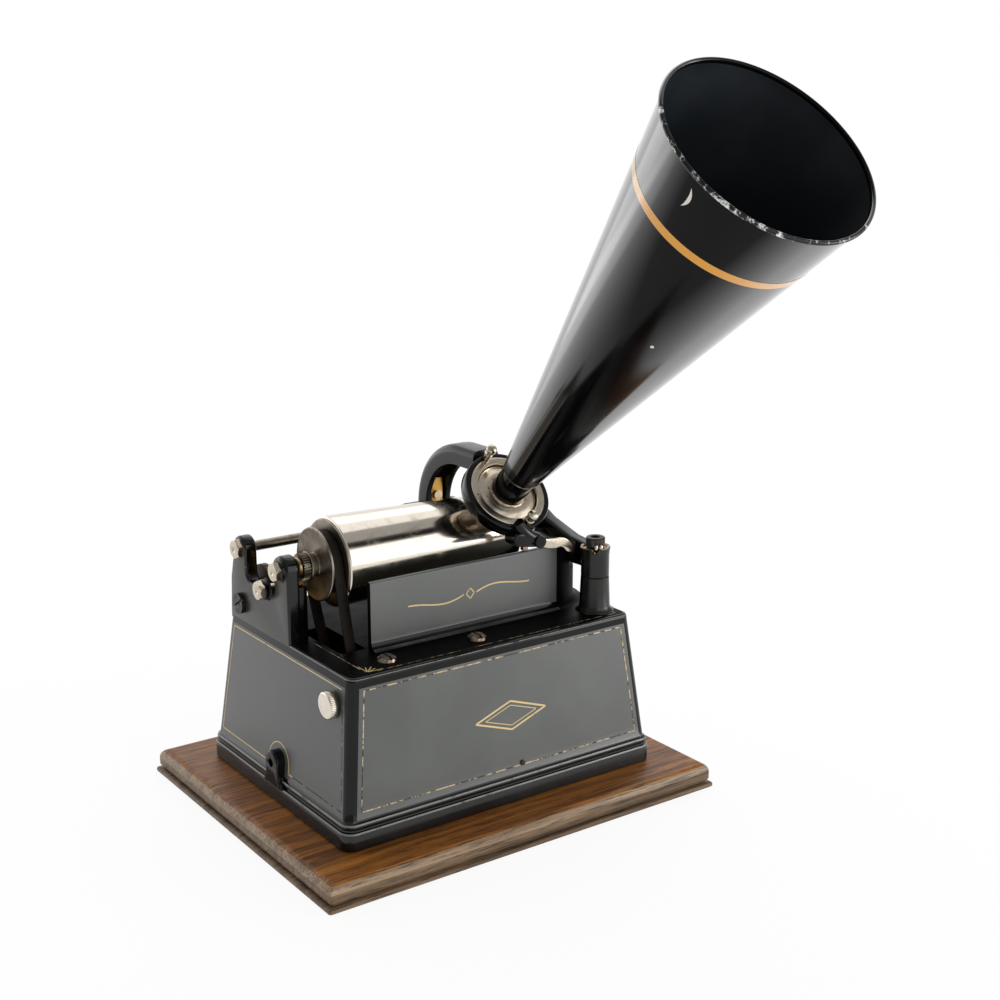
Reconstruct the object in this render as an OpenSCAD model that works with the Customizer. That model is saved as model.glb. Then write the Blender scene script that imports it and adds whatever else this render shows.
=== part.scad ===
// Cylinder phonograph with a straight horn. Millimetres, +X right along the mandrel, +Y back, +Z up.
// The origin is the centre of the board's underside.

/* [Board] */
// length of the oak board at its bottom lip
board_l = 240; // [228:1:260]
// depth of the oak board at its bottom lip
board_w = 196.6; // [184:0.2:216]
// height of the board
board_h = 13.5; // [11:0.5:16]

/* [Case] */
// length of the plinth band
plinth_l = 193; // [188:0.5:200]
// depth of the plinth band
plinth_w = 148; // [144:0.5:156]
// length of the bed
bed_l = 173; // [171:0.5:178]
// depth of the bed
bed_w = 128.4; // [126:0.2:134]
// height of the bed above the board
bed_rise = 84; // [83:0.5:88]
// thickness of the cast walls
wall = 3.5; // [2.5:0.1:4.2]

/* [Mandrel] */
// height of the mandrel axis above the bed
axis_rise = 37.7; // [37:0.1:39]
// length of the tapered mandrel
mandrel_l = 108; // [100:0.5:109]
// large radius of the mandrel
mandrel_r = 23.7; // [22.5:0.1:24.5]
// small radius of the mandrel
mandrel_tip_r = 20.6; // [19.5:0.1:21.5]
// radius of the belt groove of the mandrel pulley
pulley_r = 15.8; // [14.5:0.1:17]

/* [Train] */
// module of the feed gears
feed_m = 0.5; // [0.48:0.01:0.51]
// teeth of the mandrel pinion
pinion_n = 27; // [25:1:28]
// teeth of the idler
idler_n = 60; // [58:1:61]
// teeth of the feed gear
feed_n = 44; // [42:1:46]

/* [Carrier] */
// distance of the reproducer at rest from the gate post
carrier_gap = 42.7; // [42.5:0.1:55]
// distance of the reproducer face from the mandrel axis
face_d = 43; // [42.6:0.1:44]
// outer radius of the carrier eye
eye_r = 24; // [23.6:0.1:25]

/* [Horn] */
// length of the horn from the reproducer face to the mouth
horn_l = 255; // [180:1:300]
// radius of the mouth
mouth_r = 50; // [40:0.5:60]

/* [Fits] */
// running clearance on a radius
run = 0.05; // [0.03:0.01:0.08]
// clearance of a pressed or clamped fit on a radius
press = 0.02; // [0.01:0.01:0.03]
// free gap between pieces that pass each other
free = 0.4; // [0.3:0.05:0.6]

/* [Hidden] */
$fn = 64;
e = 0.01;
bed_z = board_h + bed_rise;
bed_t = 4.5;
band_h = 9.7;
seam_z = board_h + band_h + 3.8;
lug_x = plinth_l/2 - 1.7;
lug_t = 3.2;
foot_z = board_h + 14.5;
side_x = bed_l/2;
side_y = bed_w/2;
std_t = 7.2;
std_in = side_x - std_t;
// outer face of the end walls and inner reach of the plinth screws
function wall_x(z) = plinth_l/2 - 2 + (side_x - plinth_l/2 + 2)*(z - foot_z + 5)/(bed_z - foot_z + 5);
screw_x = plinth_l/2 - 10.5;
screw_y = plinth_w/2 - 11;
// mandrel axis
mp = [3.2, bed_z + axis_rise];
// feed train
idler_a = -40;
feed_a = -14;
pinion_r = pinion_n*feed_m/2;
idler_r = idler_n*feed_m/2;
feed_r = feed_n*feed_m/2;
ip = mp + (pinion_r + idler_r)*[cos(idler_a), sin(idler_a)];
fp = ip + (idler_r + feed_r)*[cos(feed_a), sin(feed_a)];
gear_x = -std_in + 3;
gear_w = 3.6;
function mate(al, ph, n1, n2) = al + 180 - (360/n2)*(0.5 - (al - ph)*n1/360);
pinion_ph = idler_a;
idler_ph = mate(idler_a, pinion_ph, pinion_n, idler_n);
feed_ph = mate(feed_a, idler_ph, idler_n, feed_n);
// mandrel stack along the shaft
rim_x = -std_in + 20;
groove_w = 6.2;
pull_x = rim_x - 8.1;
shaft_r = 4;
seat = 5;
pivot_r = 2;
shaft_x0 = -std_in + 0.7;
tip_x = rim_x + mandrel_l;
gx = side_x - 11.2;
gate_x = gx + 0.7;
shaft_x1 = gate_x - 6;
carrier_x = gx - carrier_gap;
// back rod
rod = [50, bed_z + 38.1];
rod_r = 2.7;
sleeve_r = 6;
hub_r = 8.6;
ear_r = 6.8;
screw_r = 4;
// reproducer frame
face = [carrier_x, mp[0] - face_d*cos(45), mp[1] + face_d*sin(45)];
body_r = eye_r - 2.8;
low_r = body_r - 2.3;
neck_r = 9.4;
arm_w = 16.4;
arm_x = carrier_x - 1.8;
arc_c = [mp[0] + 4.7, mp[1] + 9];
arc_r = 40.4;
arc_in = 29.6;
// front plate
plate_y = -34.5;
plate_t = 3;
plate_top = mp[1] - 2.2;
plate_x = rim_x + 2.3;
bend_x = side_x - 28.5;
bend_r = 26.4;
// lift lever
lev = [carrier_x + 6, plate_top + 8.4];
lev_end = [carrier_x - 10.6, lev[1] + 3.4];
lev_r = 1.6;
// gate
gy = -47.8;
post_top = bed_z + 19.2;
hub_top = bed_z + 35.5;
pin_r = 3.2;
post_r = 7.6;
// motor
dp = [-24, bed_z - 43.5];
motor_pulley_r = 10;
m1 = 0.75;
great_n = 80;
sp_n = 12;
m2 = 0.6;
sw_n = 60;
dpin_n = 12;
m3 = 0.5;
gw_n = 48;
gp_n = 12;
bs = (great_n + sp_n)*m1/2;
sd = (sw_n + dpin_n)*m2/2;
dg = (gw_n + gp_n)*m3/2;
bp = dp + [44, -1];
bd_a = atan2(dp[1] - bp[1], dp[0] - bp[0]);
bd = norm(dp - bp);
tri_a = acos((bs*bs + bd*bd - sd*sd)/(2*bs*bd));
sp_a = bd_a + tri_a;
sp = bp + bs*[cos(sp_a), sin(sp_a)];
sd_a = atan2(dp[1] - sp[1], dp[0] - sp[0]);
gov_a = 160;
gp = dp + dg*[cos(gov_a), sin(gov_a)];
great_ph = sp_a;
sp_ph = mate(sp_a, great_ph, great_n, sp_n);
sw_ph = sd_a;
dpin_ph = mate(sd_a, sw_ph, sw_n, dpin_n);
gw_ph = gov_a;
gpin_ph = mate(gov_a, gw_ph, gw_n, gp_n);
cheek_x0 = rim_x + 3.3;
cheek_x1 = cheek_x0 + 88;
mid_x = cheek_x0 + 56;
cheek_y = side_y - 9.2;
cheek_t = 3;
arb = 2.5;
belt_x = rim_x - 3.8;
belt_w = 5.8;
belt_t = 1.5;
bolt_x = [rim_x + 1.8, -3.6];
bolt_y = -50;
knob = [-50.5, bed_z - 15.7];
knob_x = wall_x(knob[1] - 5) + 0.4;
key_x = wall_x(bp[1] - 9) + 1.3;
lug = [0, board_h + 21.5];
black = [0.08, 0.08, 0.09];
nickel = [0.75, 0.72, 0.66];
steel = [0.45, 0.43, 0.4];
brass = [0.75, 0.6, 0.25];

// helpers
module yz(x0, w) translate([x0, 0, 0]) rotate([90, 0, 90]) linear_extrude(w) children();
module at(p) translate([0, p[0], p[1]]) children();
module rod_x(x0, x1, r) translate([x0, 0, 0]) rotate([0, 90, 0]) cylinder(h = x1 - x0, r = r);
module cone_x(x0, x1, r0, r1) translate([x0, 0, 0]) rotate([0, 90, 0]) cylinder(h = x1 - x0, r1 = r0, r2 = r1);
module hex_x(x0, x1, af) translate([x0, 0, 0]) rotate([0, 90, 0]) cylinder(h = x1 - x0, r = af/sqrt(3), $fn = 6);
module sq_x(x0, x1, s) translate([x0, -s/2, -s/2]) cube([x1 - x0, s, s]);
module rrect(l, w, r) union() {
  square([l - 2*r, w], center = true);
  square([l, w - 2*r], center = true);
  for (i = [-1, 1], j = [-1, 1]) translate([i*(l/2 - r), j*(w/2 - r)]) circle(r);
}
module in_face() translate(face) rotate([45, 0, 0]) children();
function tooth(R, m, n) = let (
    hp = PI*m/4 - 0.05 - 0.04*m,
    ra = R + 0.75*m,
    rd = R - 1.1*m,
    at_ = max(0.06*m, hp - 0.75*m*tan(21))/ra*180/PI,
    ad = min(hp + 1.1*m*tan(17), 0.47*PI*m*rd/R)/rd*180/PI
  ) [[rd, -ad], [R, -hp/R*180/PI], [ra, -at_], [ra, at_], [R, hp/R*180/PI], [rd, ad]];
function gear_pts(n, m, ph) = let (t = tooth(n*m/2, m, n))
  [for (i = [0:n - 1]) for (q = t) q[0]*[cos(ph + 360*i/n + q[1]), sin(ph + 360*i/n + q[1])]];
module gear(n, m, ph, bore) difference() {
  polygon(gear_pts(n, m, ph));
  square(bore + 2*press, center = true);
}

module base_board() color([0.5, 0.32, 0.17]) difference() {
  union() {
    linear_extrude(2.6) square([board_l, board_w], center = true);
    translate([0, 0, 2]) linear_extrude(3) square([board_l - 7, board_w - 7], center = true);
    intersection() {
      rotate([90, 0, 0]) linear_extrude(board_w - 3, center = true) board_edge(board_l - 3);
      rotate([90, 0, 90]) linear_extrude(board_l - 3, center = true) board_edge(board_w - 3);
    }
  }
  for (i = [-1, 1], j = [-1, 1]) translate([i*screw_x, j*screw_y, 0]) {
    translate([0, 0, -1]) cylinder(h = board_h + 2, r = 2.3);
    translate([0, 0, -1]) cylinder(h = 4.2, r = 4.6);
  }
}
module board_edge(l) union() {
  for (i = [-1, 1]) translate([i*(l/2 - 4.6), board_h - 4.6]) circle(4.6);
  translate([-l/2 + 4.6, 4.2]) square([l - 9.2, board_h - 4.2]);
  translate([-l/2, 4.2]) square([l, board_h - 8.8]);
}
module board_screws() color(steel) for (i = [-1, 1], j = [-1, 1]) translate([i*screw_x, j*screw_y, 0]) {
  translate([0, 0, 0.8]) cylinder(h = 2.4, r = 4.2);
  translate([0, 0, 3]) cylinder(h = board_h + 2, r = 2);
}

module shell(l0, w0, z0, l1, w1, z1, r) hull() {
  translate([0, 0, z0]) linear_extrude(e) rrect(l0, w0, r, $fn = 32);
  translate([0, 0, z1 - e]) linear_extrude(e) rrect(l1, w1, r, $fn = 32);
}
module left_profile() union() {
  polygon([[-3.4, bed_z - bed_t], [side_y - 1, bed_z - bed_t], [side_y - 1, bed_z], [61.4, 120], [-3.4, 120]]);
  polygon([[43.4, 119], [61.4, 119], [rod[0] + ear_r, rod[1]], [rod[0] - ear_r, rod[1]]]);
  translate(rod) circle(ear_r);
  translate([-3.4, 119]) square([15.2, mp[1] - 119]);
  translate([4.2, mp[1] - 0.4]) circle(7.6);
  difference() {
    translate([11.7, 119.9]) square([32, 4.5]);
    translate([16.2, 124.5]) circle(4.5);
    translate([38.6, 124.5]) circle(4.5);
    translate([16.2, 120]) square([22.4, 6]);
  }
}
module right_profile() union() {
  polygon([[36, bed_z - bed_t], [side_y - 1, bed_z - bed_t], [side_y - 1, bed_z], [rod[0] + ear_r, rod[1]], [rod[0] - ear_r, rod[1]],
    [36, 122]]);
  translate(rod) circle(ear_r);
  translate([-8.5, bed_z - bed_t]) square([50, bed_t + 5]);
}
module plate_plan(t) union() {
  translate([plate_x, plate_y]) square([bend_x - plate_x, t]);
  translate([bend_x, plate_y + bend_r]) difference() {
    circle(bend_r);
    circle(bend_r - t);
    translate([-2*bend_r, -2*bend_r]) square([2*bend_r, 4*bend_r]);
    translate([-e, 0]) square([2*bend_r, 2*bend_r]);
  }
}
module lift(z) translate([-150, -150, z]) cube([300, 300, 100]);
module walls() shell(plinth_l - 4, plinth_w - 4, foot_z - 5, bed_l, bed_w, bed_z, 5);
module bands() union() {
  translate([0, 0, board_h]) linear_extrude(band_h) rrect(plinth_l, plinth_w, 7);
  translate([0, 0, board_h + band_h - e]) linear_extrude(2) rrect(plinth_l - 3, plinth_w - 3, 6.5);
  translate([0, 0, board_h + band_h + 1]) linear_extrude(2.8) rrect(plinth_l - 1.8, plinth_w - 1.8, 6.5);
}
module hollow() shell(plinth_l - 4 - 2*wall, plinth_w - 4 - 2*wall, board_h - 2, bed_l - 2*wall, bed_w - 2*wall, bed_z, 4);
module plinth() color(black) difference() {
  bands();
  difference() {
    hollow();
    for (i = [-1, 1], j = [-1, 1]) translate([i*screw_x, j*screw_y, 0]) cylinder(h = 40, r = 5.5);
    for (i = [-1, 1], j = [-1, 1]) translate([i*screw_x - 4 + i*4, j*screw_y - 4 + j*4, 0]) cube([8, 8, 40]);
  }
  for (i = [-1, 1], j = [-1, 1]) translate([i*screw_x, j*screw_y, board_h - 1]) cylinder(h = 12, r = 2 + press);
}
module case() color(black) difference() {
  intersection() {
    union() {
      walls();
      at(knob) rod_x(-knob_x, -knob_x + 7, 5);
      at(bp) rod_x(key_x - 13, key_x, 9);
    }
    lift(seam_z);
  }
  difference() {
    hollow();
    at(knob) rod_x(-knob_x, -knob_x + 15, 5);
    at(bp) rod_x(key_x - 15, key_x, 9);
  }
  lift(bed_z - bed_t);
  at(knob) rod_x(-knob_x - 20, -knob_x + 20, 2.5 + run);
  at(bp) rod_x(key_x - 25, key_x + 15, 6 + press);
}
module case_lugs() color(black) difference() {
  for (s = [-1, 1]) yz(s > 0 ? lug_x : -lug_x - lug_t, lug_t) at_lug();
  bands();
  for (s = [-1, 1]) at(lug) rod_x(s*lug_x - 8, s*lug_x + 8, 2.4);
}
module bed_plate() color(black) difference() {
  union() {
    intersection() {
      walls();
      lift(bed_z - bed_t);
    }
    yz(-side_x, std_t) left_profile();
    yz(std_in, std_t) right_profile();
    translate([0, 0, bed_z - 2]) linear_extrude(plate_top - bed_z + 2) plate_plan(plate_t);
    difference() {
      translate([plate_x, plate_y - 5, bed_z - 1]) cube([bend_x - plate_x, 6, 6]);
      translate([plate_x - 1, plate_y - 5, bed_z + 5]) rotate([0, 90, 0]) cylinder(h = bend_x - plate_x + 3, r = 5);
    }
    translate([gx, gy, bed_z - 2]) cylinder(h = post_top - bed_z + 2, r1 = post_r + 0.6, r2 = post_r);
    translate([gx, gy, bed_z - 1]) cylinder(h = 2.2, r1 = post_r + 2.6, r2 = post_r + 0.5);
    at(ip) rod_x(-side_x - 3.1, -side_x + 1, 5.4);
    at(mp) rod_x(-side_x - 2.2, -side_x + 1, 5.6);
    translate([-std_in - e, -1.4, bed_z - 1]) cube([5.1 + e, 4.8, 29.5]);
  }
  translate([rim_x - 12.7, -30, bed_z - 15]) cube([14.5, 42, 30]);
  translate([bend_x + 13, plate_y - 1, bed_z + 19.5]) cube([30, 30, 40]);
  at(mp) rod_x(-side_x - 20, -std_in + 1, 3.5 + press);
  at(ip) rod_x(-side_x - 20, -std_in + 1, 3 + press);
  for (s = [-1, 1]) at(fp) rod_x(s*(side_x - 3) - 8, s*(side_x - 3) + 8, 2.5 + press);
  at(rod) rod_x(-side_x - 1, side_x + 1, rod_r + press);
  at([49.6, bed_z + 8.3]) rod_x(-side_x - 10, -side_x + 5, 3 + press);
  for (x = bolt_x, j = [-1, 1]) translate([x, j*bolt_y, bed_z - 10]) cylinder(h = 20, r = 2.5 + press);
  translate([gx, gy, bed_z + 3]) cylinder(h = 20, r = pin_r + press);
}
module at_lug() union() {
  translate(lug) circle(6.2);
  translate([-6.2, board_h + 2]) square([12.4, lug[1] - board_h - 2]);
}
module bed_screws() color([0.5, 0.4, 0.28]) for (x = bolt_x, j = [-1, 1]) translate([x, j*bolt_y, 0]) difference() {
  union() {
    translate([0, 0, bed_z]) cylinder(h = 1.4, r1 = 5, r2 = 4.7);
    translate([0, 0, bed_z + 1.3]) cylinder(h = 1.2, r1 = 4.7, r2 = 3.2);
    translate([0, 0, bed_z - 12]) cylinder(h = 12.2, r = 2.5);
  }
  translate([-0.5, -6, bed_z + 1.3]) cube([1, 12, 3]);
}
module back_rod() color(steel) at(rod) rod_x(-side_x + 0.5, side_x - 0.5, rod_r);
module rod_nuts() color(nickel) for (s = [-1, 1]) at(rod) union() {
  hex_x(s > 0 ? side_x : -side_x - 3.1, s > 0 ? side_x + 3.1 : -side_x, 9.6);
  rod_x(s > 0 ? side_x - 0.4 : -side_x - 0.1, s > 0 ? side_x + 0.1 : -side_x + 0.4, rod_r);
}
module mandrel_pivot() color(nickel) at(mp) union() {
  hex_x(-side_x - 5.4, -side_x - 2.2, 9.8);
  rod_x(-side_x - 2.3, -std_in, 3.5);
  rod_x(-std_in - 0.1, shaft_x0 + 3.4, pivot_r);
}
module idler_stud() color(nickel) at(ip) union() {
  hex_x(-side_x - 6.3, -side_x - 3.1, 10.2);
  rod_x(-side_x - 3.2, -std_in, 3);
  rod_x(-std_in - 0.1, gear_x + gear_w + 1.2, 2.5);
  rod_x(gear_x + gear_w + 0.9, gear_x + gear_w + 2.2, 4);
}
module feed_pivots() color(steel) for (s = [-1, 1]) at(fp) union() {
  rod_x(s > 0 ? std_in - 4 : -side_x + 0.6, s > 0 ? side_x - 0.6 : -std_in + 4, 2.5);
}
module clamp_screw() color(steel) at([49.6, bed_z + 8.3]) difference() {
  union() {
    rod_x(-side_x - 2.6, -side_x, 5.6);
    rod_x(-side_x - 1, -side_x + 4.6, 3);
  }
  rotate([-35, 0, 0]) translate([-side_x - 3.4, -7, -0.6]) cube([1.8, 14, 1.2]);
}

module mandrel() color(nickel) at(mp) rotate([90, 0, 90]) rotate_extrude() polygon([
  [shaft_r + press, rim_x], [mandrel_r - 0.4, rim_x], [mandrel_r, rim_x + 0.6], [mandrel_tip_r, tip_x - 1],
  [mandrel_tip_r - 0.8, tip_x], [mandrel_tip_r - 2, tip_x - 0.6], [10, tip_x - 1.5], [9, tip_x + 1], [shaft_r + press, tip_x + 1],
  [shaft_r + press, tip_x - 4], [mandrel_tip_r - 2.6, tip_x - 4.5], [mandrel_r - 2.6, rim_x + 3], [shaft_r + press, rim_x + 3]]);
module mandrel_shaft() color(steel) at(mp) difference() {
  union() {
    rod_x(shaft_x0, gear_x - 0.3, 5.4);
    sq_x(gear_x - 0.4, gear_x + gear_w + 0.3, seat);
    rod_x(gear_x + gear_w + 0.2, shaft_x1, shaft_r);
  }
  rod_x(shaft_x0 - 1, shaft_x0 + 4, pivot_r + run);
  cone_x(shaft_x1 - 3.2, shaft_x1 + e, 0.2, 3.2);
}
module mandrel_pulley() color(steel) at(mp) rotate([90, 0, 90]) rotate_extrude() polygon([
  [shaft_r + press, gear_x + gear_w + 0.6], [7.4, gear_x + gear_w + 0.6], [7.4, gear_x + gear_w + 2], [6, gear_x + gear_w + 2.2],
  [6, pull_x], [19, pull_x], [19.2, pull_x + 0.3], [19.2, pull_x + 0.9], [19, pull_x + 1.2], [pulley_r, pull_x + 1.2],
  [pulley_r, pull_x + 1.2 + groove_w], [mandrel_r - 1.6, pull_x + 1.4 + groove_w], [mandrel_r - 1, rim_x], [shaft_r + press, rim_x]]);
module mandrel_pinion() color(steel) at(mp) yz(gear_x, gear_w) gear(pinion_n, feed_m, pinion_ph, seat);
module idler_gear() color(brass) at(ip) yz(gear_x, gear_w) gear(idler_n, feed_m, idler_ph, 9);
module idler_bush() color(steel) at(ip) difference() {
  union() {
    sq_x(gear_x - 0.2, gear_x + gear_w + 0.2, 9);
    rod_x(gear_x - 1.2, gear_x - 0.1, 6.6);
    rod_x(gear_x + gear_w + 0.1, gear_x + gear_w + 0.7, 4.4);
  }
  rod_x(gear_x - 5, gear_x + gear_w + 5, 2.5 + run);
}
module feed_gear() color(steel) at(fp) yz(gear_x, gear_w) gear(feed_n, feed_m, feed_ph, 5);
module feed_screw() color(steel) at(fp) difference() {
  union() {
    rod_x(-std_in + 1, gear_x - 0.1, 4.6);
    sq_x(gear_x - 0.2, gear_x + gear_w + 0.4, 5);
    rod_x(gear_x + gear_w + 0.3, std_in - 0.6, screw_r);
  }
  rod_x(-std_in - 5, -std_in + 5, 2.5 + run);
  rod_x(std_in - 5, std_in + 5, 2.5 + run);
}

hub_x0 = carrier_x - 15;
hub_x1 = carrier_x + 15;
module guide_sleeve() color(steel) at(rod) difference() {
  union() {
    rod_x(hub_x0 - 2.1, hub_x0 - 0.1, 8.2);
    rod_x(hub_x0 - 0.2, hub_x1 + 0.2, sleeve_r);
    rod_x(hub_x1 + 0.1, hub_x1 + 2.1, 8.2);
  }
  rod_x(hub_x0 - 5, hub_x1 + 5, rod_r + run);
}
module arch() translate([arm_x, arc_c[0], arc_c[1]]) difference() {
  rotate([90, 0, 90]) rotate_extrude() difference() {
    union() {
      translate([arc_in, -arm_w/2]) square([arc_r - arc_in - 4, arm_w]);
      translate([arc_in, -arm_w/2 + 4]) square([arc_r - arc_in, arm_w - 8]);
      for (s = [-1, 1]) translate([arc_r - 4, s*(arm_w/2 - 4)]) circle(4);
    }
    translate([arc_in - 1, -arm_w/2 + 3.3]) square([7, arm_w - 6.6]);
  }
  translate([-20, -60, -60]) cube([40, 120, 60]);
  translate([-20, -60, -61]) cube([40, 60, 122]);
}
module lever_bar() union() {
  translate(lev_end) circle(3.2);
  translate(lev) circle(3.4);
  polygon([lev_end + [0.65, 3.13], lev + [0.69, 3.33], lev - [0.69, 3.33], lev_end - [0.65, 3.13]]);
}
module carrier_arm() color(black) difference() {
  union() {
    arch();
    translate([arm_x - arm_w/2, arc_c[0] - 16, arc_c[1] + arc_in]) cube([arm_w, 16 + e, arc_r - arc_in - 0.6]);
    at(rod) rod_x(hub_x0, hub_x1, hub_r);
    translate([arm_x - arm_w/2, arc_c[0] + arc_in, rod[1]]) cube([arm_w, arc_r - arc_in - 1, arc_c[1] - rod[1] + e]);
    in_face() translate([0, 0, -8]) cylinder(h = 7.6, r = eye_r);
    translate([0, -37, 0]) rotate([90, 0, 0]) linear_extrude(9.6) lever_bar();
    translate([lev[0], -36, lev[1]]) rotate([90, 0, 0]) cylinder(h = 12.5, r = 3.45);
    translate([carrier_x - 4.6, -45, lev[1]]) cube([8, 7, 6]);
  }
  in_face() translate([0, 0, -6]) cylinder(h = 30, r = body_r + press);
  in_face() translate([0, 0, -30]) cylinder(h = 40, r = low_r + free);
  at(rod) rod_x(hub_x0 - 5, hub_x1 + 5, sleeve_r + run);
  translate([lev[0] - 3.4, -43.4, lev[1] - 10]) cube([20, 2.4, 14]);
  translate([lev[0], -30, lev[1]]) rotate([90, 0, 0]) cylinder(h = 17, r = lev_r + run);
  for (p = [[-3.6, 1], [3.6, -1]]) in_face() translate([p[0], p[1]*(eye_r - 1.4), -7]) cylinder(h = 20, r = 1.2 + press);
  translate([arm_x, rod[0] - 8, rod[1] + 14.4]) rotate([-90, 0, 0]) cylinder(h = 12, r = 1.2 + press);
  translate([arm_x - 4.2, rod[0] - hub_r - 4.4, rod[1] - 12]) cube([8.4, 3.4, 24]);
}
strip_y = rod[0] - hub_r - 2;
module nut_spring() color(brass) difference() {
  union() {
    translate([arm_x - 3.6, strip_y - 0.8, fp[1] - 4.5]) cube([7.2, 0.8, rod[1] + 24 - fp[1] + 4.5]);
    translate([arm_x - 3.6, strip_y - 0.1, rod[1] + 11]) cube([7.2, 2.2, 7]);
  }
  translate([arm_x, strip_y - 3, rod[1] + 14.4]) rotate([-90, 0, 0]) cylinder(h = 12, r = 1.2 + press);
}
module half_nut() color(brass) difference() {
  translate([arm_x - 5, strip_y, fp[1] - 4.5]) cube([10, fp[0] - strip_y - 1.6, 9]);
  at(fp) rod_x(arm_x - 9, arm_x + 9, screw_r + run);
}
module nut_screw() color(nickel) translate([arm_x, strip_y - 0.8, rod[1] + 14.4]) rotate([-90, 0, 0]) union() {
  translate([0, 0, -1.6]) cylinder(h = 1.6, r = 2.6);
  cylinder(h = 6.5, r = 1.2);
}
module eye_screws() color(nickel) for (p = [[-3.6, 1], [3.6, -1]]) in_face() translate([p[0], p[1]*(eye_r - 1.4), 0]) union() {
  translate([0, 0, -5]) cylinder(h = 7, r = 1.2);
  translate([0, 0, 0.1]) cylinder(h = 3.4, r = 2.6);
  translate([0, 0, 3.4]) cylinder(h = 3.2, r = 3.2);
}
module reproducer_body() color(nickel) in_face() difference() {
  union() {
    translate([0, 0, -6]) cylinder(h = 6, r = body_r);
    translate([0, 0, -11]) cylinder(h = 6, r = low_r);
    for (q = [-4.2, 2.6]) translate([q, 14.6, wt_z - 0.2]) cube([1.6, 3.6, -11 - wt_z + 0.4]);
    translate([-3.4, 16, wt_z + 1.1]) rotate([0, 90, 0]) cylinder(h = 6.8, r = 0.6);
  }
  translate([0, 0, -4]) cylinder(h = 10, r = body_r - 4.2);
  translate([0, 0, -8]) cylinder(h = 10, r = 5);
  translate([0, 0, -10.99]) cylinder(h = 4, r = low_r - 1.8);
  translate([0, 0, -12]) cylinder(h = 5, r = low_r - 5);
  for (p = [[-3.6, 1], [3.6, -1]]) translate([p[0], p[1]*(eye_r - 1.4), -7]) cylinder(h = 20, r = 1.2 + press);
  for (p = [[-3.6, 1], [3.6, -1]]) translate([p[0], p[1]*(eye_r - 1.4), 0]) cylinder(h = 20, r = 2.6 + press);
}
module face_plate() color(nickel) in_face() rotate_extrude() polygon([
  [5, -4], [body_r - 4.4, -4], [body_r - 4.4, -2.6], [body_r - 5, -1.8], [13, -0.6], [neck_r + 1, 0.8], [neck_r, 2],
  [neck_r, 30], [neck_r - 1, 30], [neck_r - 1.6, 2], [5, -1.6]]);
module diaphragm() color([0.8, 0.8, 0.7]) in_face() translate([0, 0, -8.4]) cylinder(h = 1, r = low_r - 1.8 - press);
wt_z = -13.6;
hang = 3;
module in_weight() in_face() translate([0, 16, wt_z + 1.1]) rotate([hang, 0, 0]) translate([0, -16, -wt_z - 1.1]) children();
module float_weight() color(steel) in_weight() difference() {
  union() {
    translate([0, 0, wt_z]) cylinder(h = 2.2, r = 15);
    translate([-2.2, 13, wt_z]) cube([4.4, 4.4, 2.2]);
  }
  translate([-6, -10, wt_z - 1]) cube([12, 16, 4]);
  translate([-8, 14.2, wt_z - 1]) cube([5.8, 4, 4]);
  translate([2.2, 14.2, wt_z - 1]) cube([5.8, 4, 4]);
  translate([-3, 16, wt_z + 1.1]) rotate([0, 90, 0]) cylinder(h = 6, r = 0.6 + run);
}
module stylus() color(steel) in_weight() union() {
  translate([-0.6, -8, wt_z + 0.6]) cube([1.2, 14, 1]);
  translate([0, -7, wt_z - 1.4]) cylinder(h = 2.2, r1 = 0.25, r2 = 0.7);
  translate([0, -4, wt_z + 1]) cylinder(h = 4.2, r = 0.5);
}
horn_z = 17;
horn_r = neck_r + 1.2;
horn_k = (mouth_r - horn_r)/(horn_l - horn_z - 1.2);
module horn() color(black) in_face() rotate_extrude() union() {
  polygon([[neck_r + run, horn_z], [horn_r, horn_z], [horn_r, horn_z + 1.2], [mouth_r, horn_l], [mouth_r - 0.7, horn_l],
    [horn_r + 12.8*horn_k - 0.7, horn_z + 14], [neck_r + run, horn_z + 13]]);
  translate([mouth_r, horn_l - 0.6]) circle(1.5);
}
module lift_lever() color(nickel) union() {
  translate([lev[0], -41.4, lev[1]]) rotate([90, 0, 0]) linear_extrude(1.6) union() {
    circle(2.9);
    polygon([[0, 2.9], [4, 0.4], [8.7, -1.3], [13.7, -1.8], [17.9, -1.8], [21.2, -2.9], [24.2, -5.8], [26, -8.6], [25.4, -10.6],
      [23.2, -10.9], [21.3, -10.2], [19.2, -7.8], [17.1, -6.6], [13.7, -7.2], [8.7, -6.5], [4, -4.6], [0, -2.9]]);
  }
  translate([lev[0], -31.8, lev[1]]) rotate([90, 0, 0]) cylinder(h = 10.4, r = lev_r);
  translate([lev[0], -31.8, lev[1]]) rotate([90, 0, 0]) linear_extrude(3) union() {
    circle(2.2);
    intersection() {
      circle(lev[1] - plate_top - 0.1);
      translate([-1.6, -9]) square([3.2, 9]);
    }
  }
}
module gate() color(black) difference() {
  union() {
    translate([gx, gy, post_top + 0.1]) cylinder(h = hub_top - post_top - 0.1, r = post_r);
    translate([gx, gy, hub_top - 5]) cylinder(h = 5, r1 = post_r, r2 = post_r + 0.5);
    yz(gate_x - 3.7, 7.4) union() {
      polygon([[gy, bed_z + 22.5], [-30, bed_z + 22], [-18, bed_z + 24], [mp[0] - 1, mp[1] - 9], [mp[0], mp[1] + 8.9],
        [mp[0] - 4, mp[1] + 8], [-8, mp[1] + 4.8], [-28.9, hub_top + 1.6], [gy, hub_top]]);
      translate(mp) circle(9);
    }
  }
  translate([gx, gy, post_top - 1]) cylinder(h = 40, r = pin_r + run);
  translate([gx, gy, hub_top]) cylinder(h = 12, r = 6.2);
  translate([gx, gy, hub_top - 2.4]) rotate([0, 0, -125]) linear_extrude(9) polygon([[5, 0], [12, -3.4], [12, 3.4]]);
  at(mp) rod_x(gate_x - 8, gate_x + 8, 3.5 + press);
}
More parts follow.
